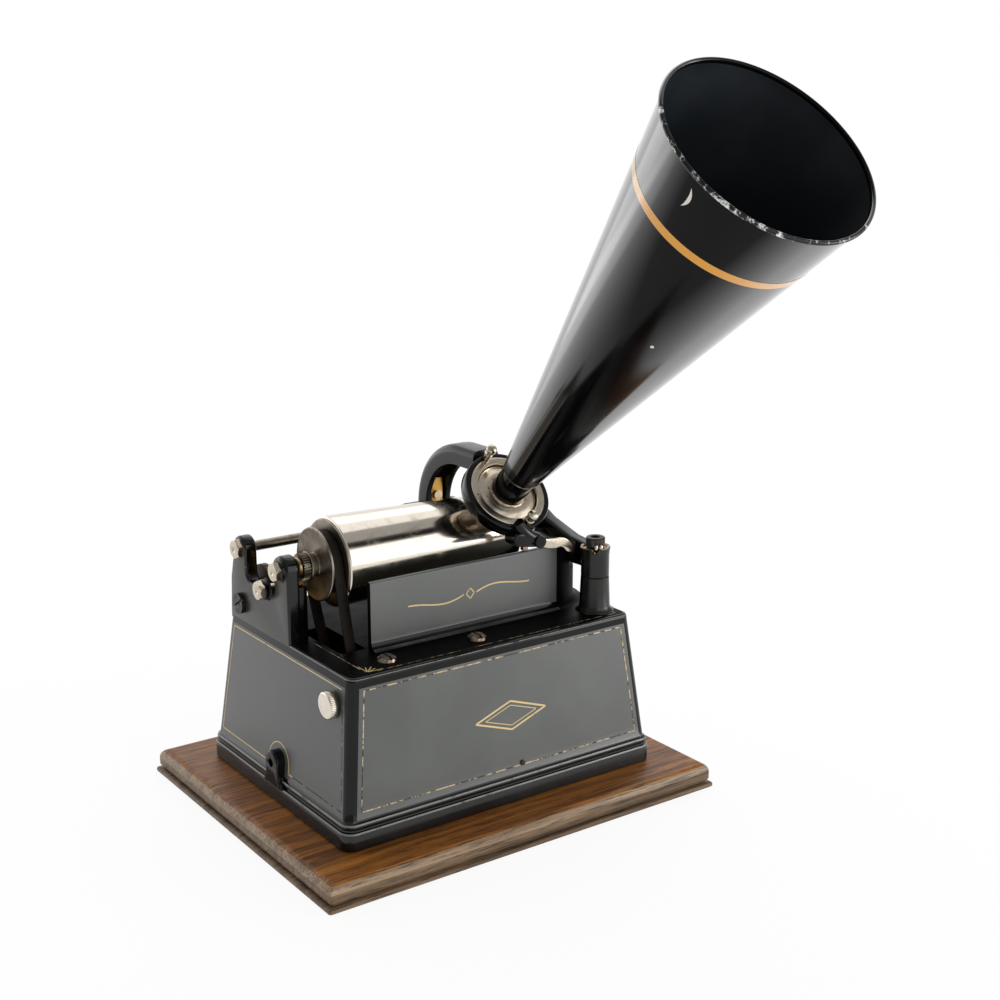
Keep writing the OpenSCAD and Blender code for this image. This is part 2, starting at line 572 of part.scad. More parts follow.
module gate_spindle() color(nickel) translate([gx, gy, 0]) difference() {
  union() {
    translate([0, 0, bed_z + 3.5]) cylinder(h = hub_top - bed_z - 3, r = pin_r);
    translate([0, 0, hub_top + 0.1]) cylinder(h = 5, r = 5.2);
  }
  translate([0, 0, hub_top + 2.6]) cylinder(h = 4, r = 2.4);
}
module gate_centre() color(nickel) at(mp) difference() {
  union() {
    cone_x(shaft_x1 - 2.95, shaft_x1 + 0.35, 0.15, 3.3);
    rod_x(shaft_x1 + 0.34, gate_x + 4, 3.5);
    rod_x(gate_x + 3.7, gate_x + 6.4, 5);
  }
  translate([gate_x + 5.2, -6, -0.6]) cube([3, 12, 1.2]);
}
module speed_knob() color(nickel) at(knob) union() {
  rod_x(-knob_x - 4.4, -knob_x - 0.2, 7);
  rod_x(-knob_x - 0.3, cheek_x0 - 2.1, 2.5);
}
pad = gp + [-6, 4];
module brake_spring() color(brass) union() {
  yz(cheek_x0 - 2, 0.8) polygon([[-54, bed_z - 13.2], [-46, bed_z - 13.2], [-39, 42], [-46, 42]]);
  translate([cheek_x0 - 1.3, -46, 42]) cube([1.3 - press, 6, 6]);
  at(pad) rod_x(cheek_x0 - 1.3, cheek_x0 + 5.9, 1.2);
}
module motor_frame() color([0.3, 0.3, 0.3]) difference() {
  union() {
    for (x = [cheek_x0, cheek_x1]) yz(x, cheek_t) translate([-cheek_y, board_h + 5]) square([2*cheek_y - 3, bed_z - 10 - board_h - 5]);
    translate([cheek_x0, -cheek_y - 1, bed_z - 12.5]) cube([cheek_x1 - cheek_x0 + cheek_t, 2*cheek_y + 2, 3]);
    for (j = [-1, 1]) translate([bolt_x[0] - 6, j*bolt_y - 6, bed_z - 12.5]) cube([14, 12, 3]);
    for (x = bolt_x, j = [-1, 1]) translate([x, j*bolt_y, bed_z - 10]) cylinder(h = 10 - bed_t - 0.02, r = 5);
  }
  for (x = bolt_x, j = [-1, 1]) translate([x, j*bolt_y, bed_z - 20]) cylinder(h = 30, r = 2.5 + press);
  at(sp) rod_x(cheek_x0 - 4, cheek_x1 + 8, 2 + run);
  at(dp) rod_x(cheek_x0 - 4, cheek_x1 + 8, 2 + run);
  at(gp) rod_x(cheek_x0 - 4, cheek_x1 + 8, 1.5 + run);
  at(bp) rod_x(cheek_x0 - 4, cheek_x1 + 8, 4 + run);
  at(pad) rod_x(cheek_x0 - 4, cheek_x0 + 6, 1.8);
}
module spring_barrel() color(brass) at(bp) difference() {
  union() {
    rod_x(mid_x - 11.6, mid_x + 25, 27);
    sq_x(mid_x - 16, mid_x - 11.5, 16);
  }
  rod_x(mid_x - 9.6, mid_x + 23, 25.4);
  rod_x(mid_x - 20, mid_x + 30, 4 + run);
}
module mainspring() color(steel) at(bp) yz(mid_x - 8, 29) polygon(concat(
  [for (i = [0:144]) let (a = i*15, r = 4.6 + i*20/144) r*[cos(a), sin(a)]],
  [for (i = [144:-1:0]) let (a = i*15, r = 5.4 + i*20/144) r*[cos(a), sin(a)]]));
module winding_arbor() color(steel) at(bp) union() {
  rod_x(cheek_x0 + 0.2, key_x + 2, 4);
  sq_x(key_x + 1.9, key_x + 9, 5.4);
}
module great_wheel() color(brass) at(bp) yz(mid_x - 16, 4) gear(great_n, m1, great_ph, 16);
module second_arbor() color(steel) at(sp) union() {
  rod_x(cheek_x0 + 0.2, cheek_x1 + cheek_t - 0.2, 2);
  sq_x(mid_x - 17.5, mid_x - 10.5, 4);
  sq_x(mid_x - 30.5, mid_x - 26.5, 4);
}
module second_pinion() color(steel) at(sp) yz(mid_x - 17, 6) gear(sp_n, m1, sp_ph, 4);
module second_wheel() color(brass) at(sp) yz(mid_x - 30, 3) gear(sw_n, m2, sw_ph, 4);
module drive_arbor() color(steel) at(dp) union() {
  rod_x(belt_x - 5.2, mid_x - 31.2, 2);
  sq_x(mid_x - 44.4, mid_x - 40.6, 4.4);
  sq_x(mid_x - 31.3, mid_x - 25.7, 3.2);
  rod_x(mid_x - 25.8, cheek_x1 + cheek_t - 0.2, 2);
}
module drive_pinion() color(steel) at(dp) yz(mid_x - 31, 5) gear(dpin_n, m2, dpin_ph, 3.2);
module drive_pulley() color(steel) at(dp) rotate([90, 0, 90]) rotate_extrude() polygon([
  [2 + press, belt_x - 4.5], [12, belt_x - 4.5], [12, belt_x - 3.3], [motor_pulley_r, belt_x - 3.2],
  [motor_pulley_r, belt_x + 3.2], [12, belt_x + 3.3], [12, belt_x + 4.5], [2 + press, belt_x + 4.5]]);
module governor_wheel() color(brass) at(dp) yz(mid_x - 44, 3) gear(gw_n, m3, gw_ph, 4.4);
module governor_spindle() color(steel) at(gp) union() {
  rod_x(cheek_x0 + 0.2, mid_x - 45.2, 1.5);
  sq_x(mid_x - 45.3, mid_x - 39.7, 2.6);
  rod_x(mid_x - 39.8, cheek_x1 + cheek_t - 0.2, 1.5);
  rod_x(mid_x - 50, mid_x - 48, 9);
}
module governor_pinion() color(steel) at(gp) yz(mid_x - 45, 5) gear(gp_n, m3, gpin_ph, 2.6);
module governor_collars() color(brass) at(gp) for (x = [mid_x - 34, mid_x + 10]) difference() {
  rod_x(x, x + 4, 4.4);
  rod_x(x - 1, x + 5, 1.5 + press);
}
module governor_springs() color(brass) at(gp) for (k = [0:2]) rotate([k*120, 0, 0]) union() {
  translate([mid_x - 34, -1.6, 4.42]) cube([48, 3.2, 0.5]);
  translate([mid_x - 10, 0, 4.8]) cylinder(h = 4, r = 3.4);
}
bd_c = dp - mp;
band_a = atan2(bd_c[1], bd_c[0]);
function loop(t) = let (ra = pulley_r + t, rb = motor_pulley_r + t, al = acos((ra - rb)/norm(bd_c))) concat(
  [for (i = [0:48]) let (a = band_a + al + i*(360 - 2*al)/48) ra*[cos(a), sin(a)]],
  [for (i = [0:32]) let (a = band_a - al + i*2*al/32) bd_c + rb*[cos(a), sin(a)]]);
module belt() color([0.2, 0.13, 0.08]) at(mp) yz(belt_x - belt_w/2, belt_w) difference() {
  polygon(loop(belt_t));
  polygon(loop(2*run));
}
module key_bush() color(brass) at(bp) difference() {
  union() {
    rod_x(key_x - 13, key_x + 0.1, 6);
    rod_x(key_x + press, key_x + 1.4, 8.4);
  }
  rod_x(key_x - 20, key_x + 20, 4 + run);
}

base_board();
board_screws();
plinth();
case();
case_lugs();
bed_plate();
bed_screws();
back_rod();
rod_nuts();
mandrel_pivot();
idler_stud();
feed_pivots();
clamp_screw();
mandrel();
mandrel_shaft();
mandrel_pulley();
mandrel_pinion();
idler_gear();
idler_bush();
feed_gear();
feed_screw();
guide_sleeve();
carrier_arm();
nut_spring();
half_nut();
nut_screw();
eye_screws();
reproducer_body();
face_plate();
diaphragm();
float_weight();
stylus();
horn();
lift_lever();
gate();
gate_spindle();
gate_centre();
speed_knob();
brake_spring();
motor_frame();
spring_barrel();
mainspring();
winding_arbor();
great_wheel();
second_arbor();
second_pinion();
second_wheel();
drive_arbor();
drive_pinion();
drive_pulley();
governor_wheel();
governor_spindle();
governor_pinion();
governor_collars();
governor_springs();
belt();
key_bush();
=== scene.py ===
"""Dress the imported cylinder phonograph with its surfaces, finishes, light and camera.

Every length in this file is in millimetres and turns to metres where a mesh is made.
The frame is the part's own: X runs right along the mandrel, Y runs back and Z runs up.
"""

import logging
import math
from dataclasses import dataclass
from enum import Enum, IntEnum
from typing import NamedTuple, Sequence

import bmesh
import bpy
import numpy as np
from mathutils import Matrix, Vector


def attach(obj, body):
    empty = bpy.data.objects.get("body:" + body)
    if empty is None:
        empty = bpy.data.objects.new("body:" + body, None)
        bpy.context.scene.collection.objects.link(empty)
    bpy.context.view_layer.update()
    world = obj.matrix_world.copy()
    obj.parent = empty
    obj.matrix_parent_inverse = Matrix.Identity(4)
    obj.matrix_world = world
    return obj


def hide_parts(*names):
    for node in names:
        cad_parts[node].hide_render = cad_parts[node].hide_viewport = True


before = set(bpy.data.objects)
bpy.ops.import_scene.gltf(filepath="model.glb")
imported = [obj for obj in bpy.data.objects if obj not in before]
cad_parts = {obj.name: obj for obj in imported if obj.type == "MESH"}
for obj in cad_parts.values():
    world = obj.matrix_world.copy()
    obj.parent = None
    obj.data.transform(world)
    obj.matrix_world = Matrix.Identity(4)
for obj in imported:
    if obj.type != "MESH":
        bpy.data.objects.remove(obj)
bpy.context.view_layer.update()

Array = np.ndarray
Pair = tuple[float, float]
Place = tuple[float, float, float]
Rows = tuple[tuple[float, ...], ...]
Tree = bpy.types.NodeTree
Socket = bpy.types.NodeSocket
Links = dict[str, Socket]
MM = 0.001
TINY = 1e-9
WHITE = (1.0, 1.0, 1.0, 1.0)
RIGHT = np.array((1.0, 0.0, 0.0))
BACK = np.array((0.0, 1.0, 0.0))

# The height of the bed, and the axes that several sub-assemblies share.
BED = 97.5
MANDREL_Y, MANDREL_Z = 3.2, 135.2
ROD_Y, ROD_Z = 50.0, 135.6
IDLER_Y, IDLER_Z = 19.861, 121.219
FEED_Y, FEED_Z = 45.089, 114.929
KNOB = (-50.5, 81.8)
POST = (75.3, -47.8)

# Points on each corner of a soft rectangle, and the distance in metres at which points of a mesh become one.
CORNER_STEPS = 7
MERGE = 2e-6

LOG = logging.getLogger("phonograph")


def linear(colour: str) -> tuple[float, float, float, float]:
    """Turn an sRGB hex colour into linear RGBA.

    Args:
        colour: the colour as "#rrggbb".
    Returns:
        Linear red, green, blue and an alpha of 1.
    """
    srgb = np.array([int(colour[i : i + 2], 16) for i in (1, 3, 5)]) / 255
    rgb = np.where(srgb <= 0.04045, srgb / 12.92, ((srgb + 0.055) / 1.055) ** 2.4)
    return (*rgb.tolist(), 1.0)


def add(tree: Tree, kind: str, inputs: dict | None = None, **settings: object) -> bpy.types.Node:
    """Add one node, set its properties, and link or set its sockets.

    Args:
        tree: the node tree that takes the node.
        kind: Blender's name for the node type.
        inputs: sockets by name or index, each with a value or with a socket to link from.
        settings: properties of the node.
    Returns:
        The new node.
    """
    node = tree.nodes.new(kind)
    for name, value in settings.items():
        setattr(node, name, value)
    for key, value in (inputs or {}).items():
        if isinstance(value, Socket):
            tree.links.new(value, node.inputs[key])
        else:
            node.inputs[key].default_value = value
    return node


def per_metre(size: float) -> float:
    """Give a pattern's scale from the real size of its features in millimetres."""
    return 1.0 / (size * MM)


class Mottle(NamedTuple):
    """The sockets of a mottled colour: the noise itself, the second colour's share and the mix."""

    noise: Socket
    share: Socket
    tint: Socket


def mottle(
    tree: Tree,
    colours: tuple,
    size: float,
    limits: Pair,
    most: float = 1.0,
    stretch: float = 1.0,
    **noise: float,
) -> Mottle:
    """Mix two colours by noise: the second one's share rises from 0 to its most between two noise levels.

    Args:
        tree: the material's node tree.
        colours: the first colour, or a socket that gives it, and the second colour.
        size: size of the noise's features in millimetres.
        limits: the two noise levels.
        most: the greatest share of the second colour.
        stretch: scale of the pattern along X, below 1 for one drawn out along the grain.
        noise: further sockets of the noise.
    Returns:
        The sockets of the pattern.
    """
    place = add(tree, "ShaderNodeTexCoord").outputs["Object"]
    if stretch != 1.0:
        scale = (stretch, 1.0, 1.0)
        place = add(tree, "ShaderNodeMapping", {"Vector": place, "Scale": scale}).outputs["Vector"]
    sockets = {"Vector": place, "Scale": per_metre(size), **noise}
    cloud = add(tree, "ShaderNodeTexNoise", sockets).outputs["Fac"]
    levels = {"Value": cloud, "From Min": limits[0], "From Max": limits[1], "To Max": most}
    share = add(tree, "ShaderNodeMapRange", levels).outputs["Result"]
    tint = add(tree, "ShaderNodeMix", {0: share, 6: colours[0], 7: colours[1]}, data_type="RGBA").outputs[2]
    return Mottle(cloud, share, tint)


@dataclass(frozen=True)
class Finish:
    """A finish that is even all over, and the base of the patterned ones.

    The varnish is the refractive index of a coat that shines only at a low angle, or 0 where there is none.
    """

    name: str
    colour: str
    metallic: float
    roughness: float
    specular: float = 0.5
    glow: float = 0.0
    varnish: float = 0.0
    varnish_roughness: float = 0.12
    varnish_facing: Pair = (0.34, 0.56)

    def material(self) -> bpy.types.Material:
        """Make the material once and return it.

        Returns:
            The material with this finish's name.
        """
        made = bpy.data.materials.get(self.name)
        if made is not None:
            return made
        made = bpy.data.materials.new(self.name)
        made.use_nodes = True
        made.diffuse_color = linear(self.colour)
        settings = {
            "Base Color": linear(self.colour),
            "Metallic": self.metallic,
            "Roughness": self.roughness,
            "Specular IOR Level": self.specular,
            "Emission Color": WHITE,
            "Emission Strength": self.glow,
        }
        links = self.dress(made.node_tree)
        if self.varnish:
            settings |= {"Coat IOR": self.varnish, "Coat Roughness": self.varnish_roughness}
            links |= self.coat(made.node_tree)
        shader = made.node_tree.nodes["Principled BSDF"]
        for socket, value in settings.items():
            shader.inputs[socket].default_value = value
        for socket, source in links.items():
            made.node_tree.links.new(source, shader.inputs[socket])
        return made

    def coat(self, tree: Tree) -> Links:
        """Let the varnish shine by how far the surface turns from the eye, between two shares.

        Args:
            tree: the material's node tree.
        Returns:
            The shader's socket and what feeds it.
        """
        edge = add(tree, "ShaderNodeLayerWeight", {"Blend": 0.5}).outputs["Facing"]
        low, high = self.varnish_facing
        share = add(tree, "ShaderNodeMapRange", {"Value": edge, "From Min": low, "From Max": high})
        return {"Coat Weight": share.outputs["Result"]}

    def dress(self, tree: Tree) -> Links:
        """Leave an even finish as it is."""
        return {}


@dataclass(frozen=True)
class Japan(Finish):
    """Black japan, a baked enamel: nearly black, with a soft sheen that wanders where it was rubbed."""

    rubbed: str = "#1c1f1d"
    rubbed_at: Pair = (0.42, 0.68)
    patch: float = 14.0
    spread: float = 0.12
    peel: float = 0.03
    peel_size: float = 1.6
    peel_depth: float = 0.2

    def dress(self, tree: Tree) -> Links:
        """Mix the rubbed colour in by broad noise, which also spreads the roughness, and dent by fine noise.

        Args:
            tree: the material's node tree.
        Returns:
            The shader's sockets and what feeds them.
        """
        colours = linear(self.colour), linear(self.rubbed)
        broad = mottle(tree, colours, self.patch, self.rubbed_at, Detail=5.0)
        levels = {"Value": broad.noise, "From Min": 0.3, "From Max": 0.7}
        rough = {"To Min": self.roughness - self.spread / 2, "To Max": self.roughness + self.spread}
        gloss = add(tree, "ShaderNodeMapRange", levels | rough)
        place = add(tree, "ShaderNodeTexCoord").outputs["Object"]
        grain = {"Vector": place, "Scale": per_metre(self.peel_size), "Detail": 3.0}
        fine = add(tree, "ShaderNodeTexNoise", grain)
        dents = {"Height": fine.outputs["Fac"], "Strength": self.peel, "Distance": self.peel_depth * MM}
        relief = add(tree, "ShaderNodeBump", dents)
        return {
            "Base Color": broad.tint,
            "Roughness": gloss.outputs["Result"],
            "Normal": relief.outputs["Normal"],
        }


@dataclass(frozen=True)
class WornMetal(Finish):
    """Bright metal with age: tarnish clouds it, and the plating is worn through in spots."""

    tarnish: str = "#6f675a"
    share: float = 0.4
    cloud: float = 8.0
    spread: float = 0.15

    def dress(self, tree: Tree) -> Links:
        """Mix the tarnish in by noise, and let it dull the gloss: roughness plus its spread times the share.

        Args:
            tree: the material's node tree.
        Returns:
            The shader's sockets and what feeds them.
        """
        edge = 0.74 - 0.4 * self.share
        colours = linear(self.colour), linear(self.tarnish)
        aged = mottle(tree, colours, self.cloud, (edge - 0.1, edge + 0.12), Detail=6.0, Roughness=0.65)
        rough = {"To Min": self.roughness, "To Max": self.roughness + self.spread}
        gloss = add(tree, "ShaderNodeMapRange", {"Value": aged.share, **rough})
        return {"Base Color": aged.tint, "Roughness": gloss.outputs["Result"]}


@dataclass(frozen=True)
class Oak(Finish):
    """Stained oak, planed and waxed: long dark pores along the plank over warm bands of wood.

    The pores are drawn about three times as wide as real ones, so that they show.
    """

    late_wood: str = "#4a2e18"
    pore: str = "#2a190d"
    band_size: float = 5.0
    pore_size: float = 1.0
    pore_depth: float = 0.3

    def dress(self, tree: Tree) -> Links:
        """Draw noise out along X for the bands and again for the pores over them, and sink the pores.

        Args:
            tree: the material's node tree.
        Returns:
            The shader's sockets and what feeds them.
        """
        colours = linear(self.colour), linear(self.late_wood)
        grain = {"Detail": 6.0, "Roughness": 0.66, "Distortion": 0.5}
        wood = mottle(tree, colours, self.band_size, (0.36, 0.66), stretch=0.04, **grain)
        colours = wood.tint, linear(self.pore)
        pores = mottle(tree, colours, self.pore_size, (0.5, 0.64), 0.9, 0.05, Detail=4.0, Roughness=0.75)
        dents = {"Height": pores.noise, "Strength": 0.25, "Distance": self.pore_depth * MM}
        relief = add(tree, "ShaderNodeBump", dents, invert=True)
        return {"Base Color": pores.tint, "Normal": relief.outputs["Normal"]}


@dataclass(frozen=True)
class WornGold(Finish):
    """A thin coat that is rubbed away in places: gold down to the black, or enamel down to the metal."""

    under: str = "#0d0f0e"
    kept: float = 0.8
    gap: float = 5.0

    def dress(self, tree: Tree) -> Links:
        """Break the coat by noise, above a level that rises with the share that is kept.

        Args:
            tree: the material's node tree.
        Returns:
            The shader's socket and what feeds it.
        """
        edge = 0.3 + 0.42 * self.kept
        colours = linear(self.colour), linear(self.under)
        worn = mottle(tree, colours, self.gap, (edge - 0.05, edge + 0.05), Detail=5.0, Roughness=0.7)
        return {"Base Color": worn.tint}


class Finishes(Enum):
    """The finishes of the phonograph, each named for what the real surface is."""

    # Walls of the case and the front plate: black japan with its colour lifted to dark grey, a painted
    # sheen, while the baked coat also mirrors the bright room softly.
    WALL = Japan("satin black japan with painted sheen", "#3b3e3b", 0.0, 0.4, 0.9, rubbed="#454844", patch=34.0, spread=0.06)
    # Rounded edges and small castings: deep black with sharp, narrow lights.
    GLOSS = Japan("gloss black japan", "#040505", 0.0, 0.09, 0.26, rubbed="#080908", patch=10.0, spread=0.06)
    # The horn: black where it faces the eye, with pale lengths along both edges of the cone.
    HORN = Japan(
        "gloss black enamel on tin", "#050506", 0.0, 0.12, 0.11, varnish=2.3, rubbed="#060607", patch=30.0,
        spread=0.08,
    )
    # The standard's outer face: a brownish grey, rubbed by hands.
    STANDARD = Japan("rubbed black japan", "#2b2a28", 0.0, 0.32, rubbed="#373533", patch=12.0, spread=0.1)
    # The bed: dead black, with dust in place of gloss.
    BED = Japan("dulled black japan", "#040404", 0.0, 0.4, 0.03, rubbed="#070707", patch=12.0, spread=0.1)
    # Handled castings: black with a broad soft light.
    SATIN = Japan("worn black japan", "#0d0d0c", 0.0, 0.22, 0.4, rubbed="#171613", patch=9.0, spread=0.1)
    # Rims of the standards: black with a few bright nicks.
    CHIPPED = WornGold("chipped black japan", "#060707", 0.0, 0.12, 0.4, under="#b9b6ad", kept=0.97, gap=3.0)
    # The plinth: black, with the board's brown in its gloss.
    FOOT = Japan("gloss black japan on the foot", "#070807", 0.0, 0.13, 0.48, rubbed="#0e0f0d", patch=20.0)
    # Beads and rim: broken pale lines along the edges, painted highlights.
    EDGE = WornGold("painted highlight on japanned edges", "#73736f", 0.0, 0.3, under="#1a1b1a", kept=0.7, gap=12.0)
    # The hollow at the front plate's foot: one soft grey line, a painted sheen.
    SHEEN = Japan("sheen of a japanned fillet", "#3c3d3b", 0.0, 0.3, rubbed="#161716", patch=16.0)
    # The wired rim of the horn: black and bare tin by turns.
    HORN_RIM = WornGold(
        "chipped black enamel", "#08080a", 0.0, 0.18, 0.34, under="#efefec", kept=0.64, gap=5.0
    )
    # The inside of the horn: dull black enamel lifted to a blue grey as painted light, since little light
    # reaches in; it darkens into the throat.
    HORN_INSIDE = Japan("dull black enamel on tin with painted light", "#1f2327", 0.0, 0.36, 0.3, rubbed="#25292d", patch=30.0)
    # Plated screws, ring and plate: warm silver with soft clouds.
    NICKEL = WornMetal("nickel plate", "#c6bba9", 1.0, 0.2, tarnish="#9a8c76", share=0.3, cloud=5.0)
    # The mandrel and the knob: nearly a mirror, with long bright and dark bands.
    MANDREL = WornMetal(
        "polished nickel sleeve", "#dcd3c6", 1.0, 0.13, tarnish="#cdc2b2", share=0.35, cloud=9.0
    )
    # Shafts, gears, pulley and screws: grey, yellowish, blue black or brown, with broad dim lights.
    STEEL = WornMetal("turned steel", "#8b8276", 1.0, 0.28, tarnish="#5f564b", share=0.4, cloud=6.0)
    BRASS_STEEL = WornMetal(
        "turned bell metal", "#a08a62", 1.0, 0.28, tarnish="#62523d", share=0.5, cloud=4.0
    )
    DARK_STEEL = WornMetal("blued steel", "#4a4744", 1.0, 0.34, tarnish="#2c2622", share=0.5, cloud=3.0)
    BRONZE = WornMetal("lacquered bronze", "#9a8a78", 1.0, 0.22, tarnish="#3c322b", share=0.5, cloud=3.0)
    # Springs and wheels: yellow metal gone brown in patches.
    BRASS = WornMetal("rolled brass", "#c09a55", 1.0, 0.28, tarnish="#7a5c30", share=0.4, cloud=4.0)
    # Handled edges of plated pieces: silver spotted with red brown.
    COPPER = WornMetal(
        "nickel worn to copper", "#b5a690", 1.0, 0.26, tarnish="#6b4632", share=0.6, cloud=2.5
    )
    # Chips in the horn's enamel: plain pale grey.
    TIN = Finish("bare tin plate", "#d9d2c8", 0.0, 0.4)
    # The motor's frame: rough dark grey.
    IRON = WornMetal("cast iron", "#3a3a3a", 1.0, 0.55, tarnish="#26221f", share=0.5, cloud=6.0)
    # The board: brown with dark streaks on top, paler and greyer on the edge for handling wear and a painted
    # highlight on the nose.
    OAK = Oak("waxed oak", "#aa6c2b", 0.0, 0.42, 0.3, late_wood="#573112", pore="#2a180a")
    OAK_EDGE = Oak("rubbed oak edge with painted highlight", "#a48b6e", 0.0, 0.4, 0.4, late_wood="#6f553a", pore="#33251a")
    OAK_LIP = Oak("weathered oak lip", "#80684e", 0.0, 0.45, 0.3, late_wood="#4f3d2b", pore="#2b1f14")
    # Bronze powder in size: thin dull gold lines, whole, broken or nearly gone.
    GOLD = WornGold("gold line", "#d8bd85", 0.0, 0.4, kept=0.84)
    GOLD_WORN = WornGold("rubbed gold line", "#cdb48a", 0.0, 0.45, kept=0.46, gap=4.0)
    GOLD_FADED = WornGold("faded gold line", "#9c8a68", 0.0, 0.5, kept=0.34, gap=3.0)
    GOLD_BAND = WornGold("gold enamel band", "#d89b42", 0.0, 0.3, 0.3, varnish=2.2, kept=0.97, gap=9.0)
    # The belt: dark brown, without gloss.
    LEATHER = Japan("oiled leather", "#120d0a", 0.0, 0.5, 0.16, rubbed="#21170f", patch=5.0, peel=0.2)
    # Pin holes: flat black dots of painted shade over faces that are not cut.
    PIT = Finish("shadowed bore", "#0b0a09", 0.0, 0.6)
    # The diaphragm: a pale yellowish disc.
    MICA = Finish("mica disc", "#cfc8b4", 0.0, 0.3)


@dataclass(frozen=True)
class Axes:
    """A local frame in millimetres."""

    origin: Place
    across: Place
    up: Place
    along: Place

    def place(self, local: Array) -> Array:
        """Turn local points into points of the part.

        Args:
            local: points whose last axis is (across, up, along).
        Returns:
            The same points in the part's frame.
        """
        return np.array(self.origin) + local @ np.array((self.across, self.up, self.along))


def shaft_axes(y: float, z: float) -> Axes:
    """Give the frame of a round piece on a line along X, where along is X itself."""
    return Axes((0.0, y, z), (0.0, 1.0, 0.0), (0.0, 0.0, 1.0), (1.0, 0.0, 0.0))


def post_axes(x: float, y: float) -> Axes:
    """Give the frame of an upright round piece, where along is Z itself."""
    return Axes((x, y, 0.0), (1.0, 0.0, 0.0), (0.0, 1.0, 0.0), (0.0, 0.0, 1.0))


def front_axes(x: float = 0.0, z: float = 0.0) -> Axes:
    """Give the frame of a piece seen from the front, where along is minus Y."""
    return Axes((x, 0.0, z), (1.0, 0.0, 0.0), (0.0, 0.0, 1.0), (0.0, -1.0, 0.0))


# The sound box's face, which leans back by 45 degrees, and the two end walls seen from outside.
HALF = math.sqrt(0.5)
FACE = Axes((32.6, -27.2056, 165.6056), (1.0, 0.0, 0.0), (0.0, HALF, HALF), (0.0, -HALF, HALF))
LEFT_WALL = Axes((0.0, 0.0, 0.0), (0.0, -1.0, 0.0), (0.0, 0.0, 1.0), (-1.0, 0.0, 0.0))
RIGHT_WALL = Axes((0.0, 0.0, 0.0), (0.0, -1.0, 0.0), (0.0, 0.0, 1.0), (1.0, 0.0, 0.0))


@dataclass
class Patch:
    """A grid of points that becomes a sheet of quads.

    The columns close on themselves where wrap is set, and both end rows get a flat cap where caps is set.
    The finish is one number, or a grid of numbers that spreads over the quads. The caps may have their own.
    """

    points: Array
    wrap: bool = False
    caps: bool = False
    finish: int | Array = 0
    cap_finish: int | None = None

    def slots(self) -> Array:
        """Spread the finish over the faces.

        Returns:
            The finish number of each face, the two caps last.
        """
        down, columns = self.points.shape[:2]
        grid = np.broadcast_to(self.finish, (down - 1, columns if self.wrap else columns - 1)).ravel()
        ends = grid[-1] if self.cap_finish is None else self.cap_finish
        return np.concatenate((grid, np.full(2, ends))) if self.caps else grid


def quads_of(patch: Patch, base: int) -> list[list[int]]:
    """Number the faces of one patch.

    Args:
        patch: the grid of points.
        base: the number of its first point.
    Returns:
        The corners of each face.
    """
    down, columns = patch.points.shape[:2]
    index = base + np.arange(down * columns).reshape(down, columns)
    ring = np.concatenate((index, index[:, :1]), axis=1) if patch.wrap else index
    corners = (ring[:-1, :-1], ring[:-1, 1:], ring[1:, 1:], ring[1:, :-1])
    faces = np.stack(corners, axis=-1).reshape(-1, 4).tolist()
    return faces + [index[0].tolist(), index[-1].tolist()] if patch.caps else faces


def make_piece(
    name: str,
    patches: Sequence[Patch],
    finishes: Sequence[Finishes],
    body: str,
    nodes: Sequence[str] = (),
    crease: float = 34.0,
    sheet: bool = False,
) -> None:
    """Join patches into one mesh object that rides on a body and stands for CAD nodes.

    Args:
        name: the object's name.
        patches: the grids that make it up.
        finishes: the finishes that the patches number.
        body: the body that it moves with.
        nodes: the CAD nodes that it replaces.
        crease: the angle in degrees past which an edge stays sharp.
        sheet: True for a thin line whose faces already point the right way.
    """
    counts = np.cumsum([0] + [p.points.shape[0] * p.points.shape[1] for p in patches])
    faces = [quads_of(p, int(base)) for p, base in zip(patches, counts)]
    slots = np.concatenate([p.slots() for p in patches]).astype(np.int32)
    mesh = bpy.data.meshes.new(name)
    points = np.concatenate([p.points.reshape(-1, 3) for p in patches]) * MM
    mesh.from_pydata(points.tolist(), [], [corner for part in faces for corner in part])
    mesh.polygons.foreach_set("material_index", slots)
    for finish in finishes:
        mesh.materials.append(finish.value.material())
    work = bmesh.new()
    work.from_mesh(mesh)
    bmesh.ops.remove_doubles(work, verts=work.verts, dist=MERGE)
    if not sheet:
        bmesh.ops.recalc_face_normals(work, faces=work.faces)
    work.to_mesh(mesh)
    work.free()
    mesh.shade_smooth()
    mesh.set_sharp_from_angle(angle=math.radians(crease))
    made = bpy.data.objects.new(name, mesh)
    bpy.context.scene.collection.objects.link(made)
    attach(made, body)
    if nodes:
        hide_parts(*nodes)
    LOG.info("%s: %d faces on %s", name, len(mesh.polygons), body)


def rows(*points: tuple[float, ...]) -> Array:
    """Turn written points into an array of rows."""
    return np.array(points, float)


def unit(vectors: Array) -> Array:
    """Give vectors a length of 1, each divided by its own length."""
    return vectors / np.maximum(np.linalg.norm(vectors, axis=-1, keepdims=True), TINY)


def raised(flat: Array, height: float | Sequence[float]) -> Array:
    """Add a third coordinate to flat points.

    Args:
        flat: one loop of points, or a stack of loops.
        height: one height for all of them, or one for each loop.
    Returns:
        The points in space.
    """
    level = np.reshape(height, (-1, 1, 1)) if np.ndim(height) else height
    return np.concatenate((flat, np.broadcast_to(level, (*flat.shape[:-1], 1))), axis=-1)


def arc(x: float, y: float, radius: float, start: float, stop: float, steps: int = 16) -> Array:
    """Give points on a circle between two angles in degrees.

    Args:
        x: centre across.
        y: centre up.
        radius: radius of the circle.
        start: first angle.
        stop: last angle.
        steps: number of points.
    Returns:
        The points as rows.
    """
    angle = np.radians(np.linspace(start, stop, steps))
    return np.stack((x + radius * np.cos(angle), y + radius * np.sin(angle)), axis=-1)


def circle(x: float, y: float, radius: float, steps: int = 48) -> Array:
    """Give a whole circle, anticlockwise, without its first point twice."""
    return arc(x, y, radius, 0.0, 360.0, steps + 1)[:-1]


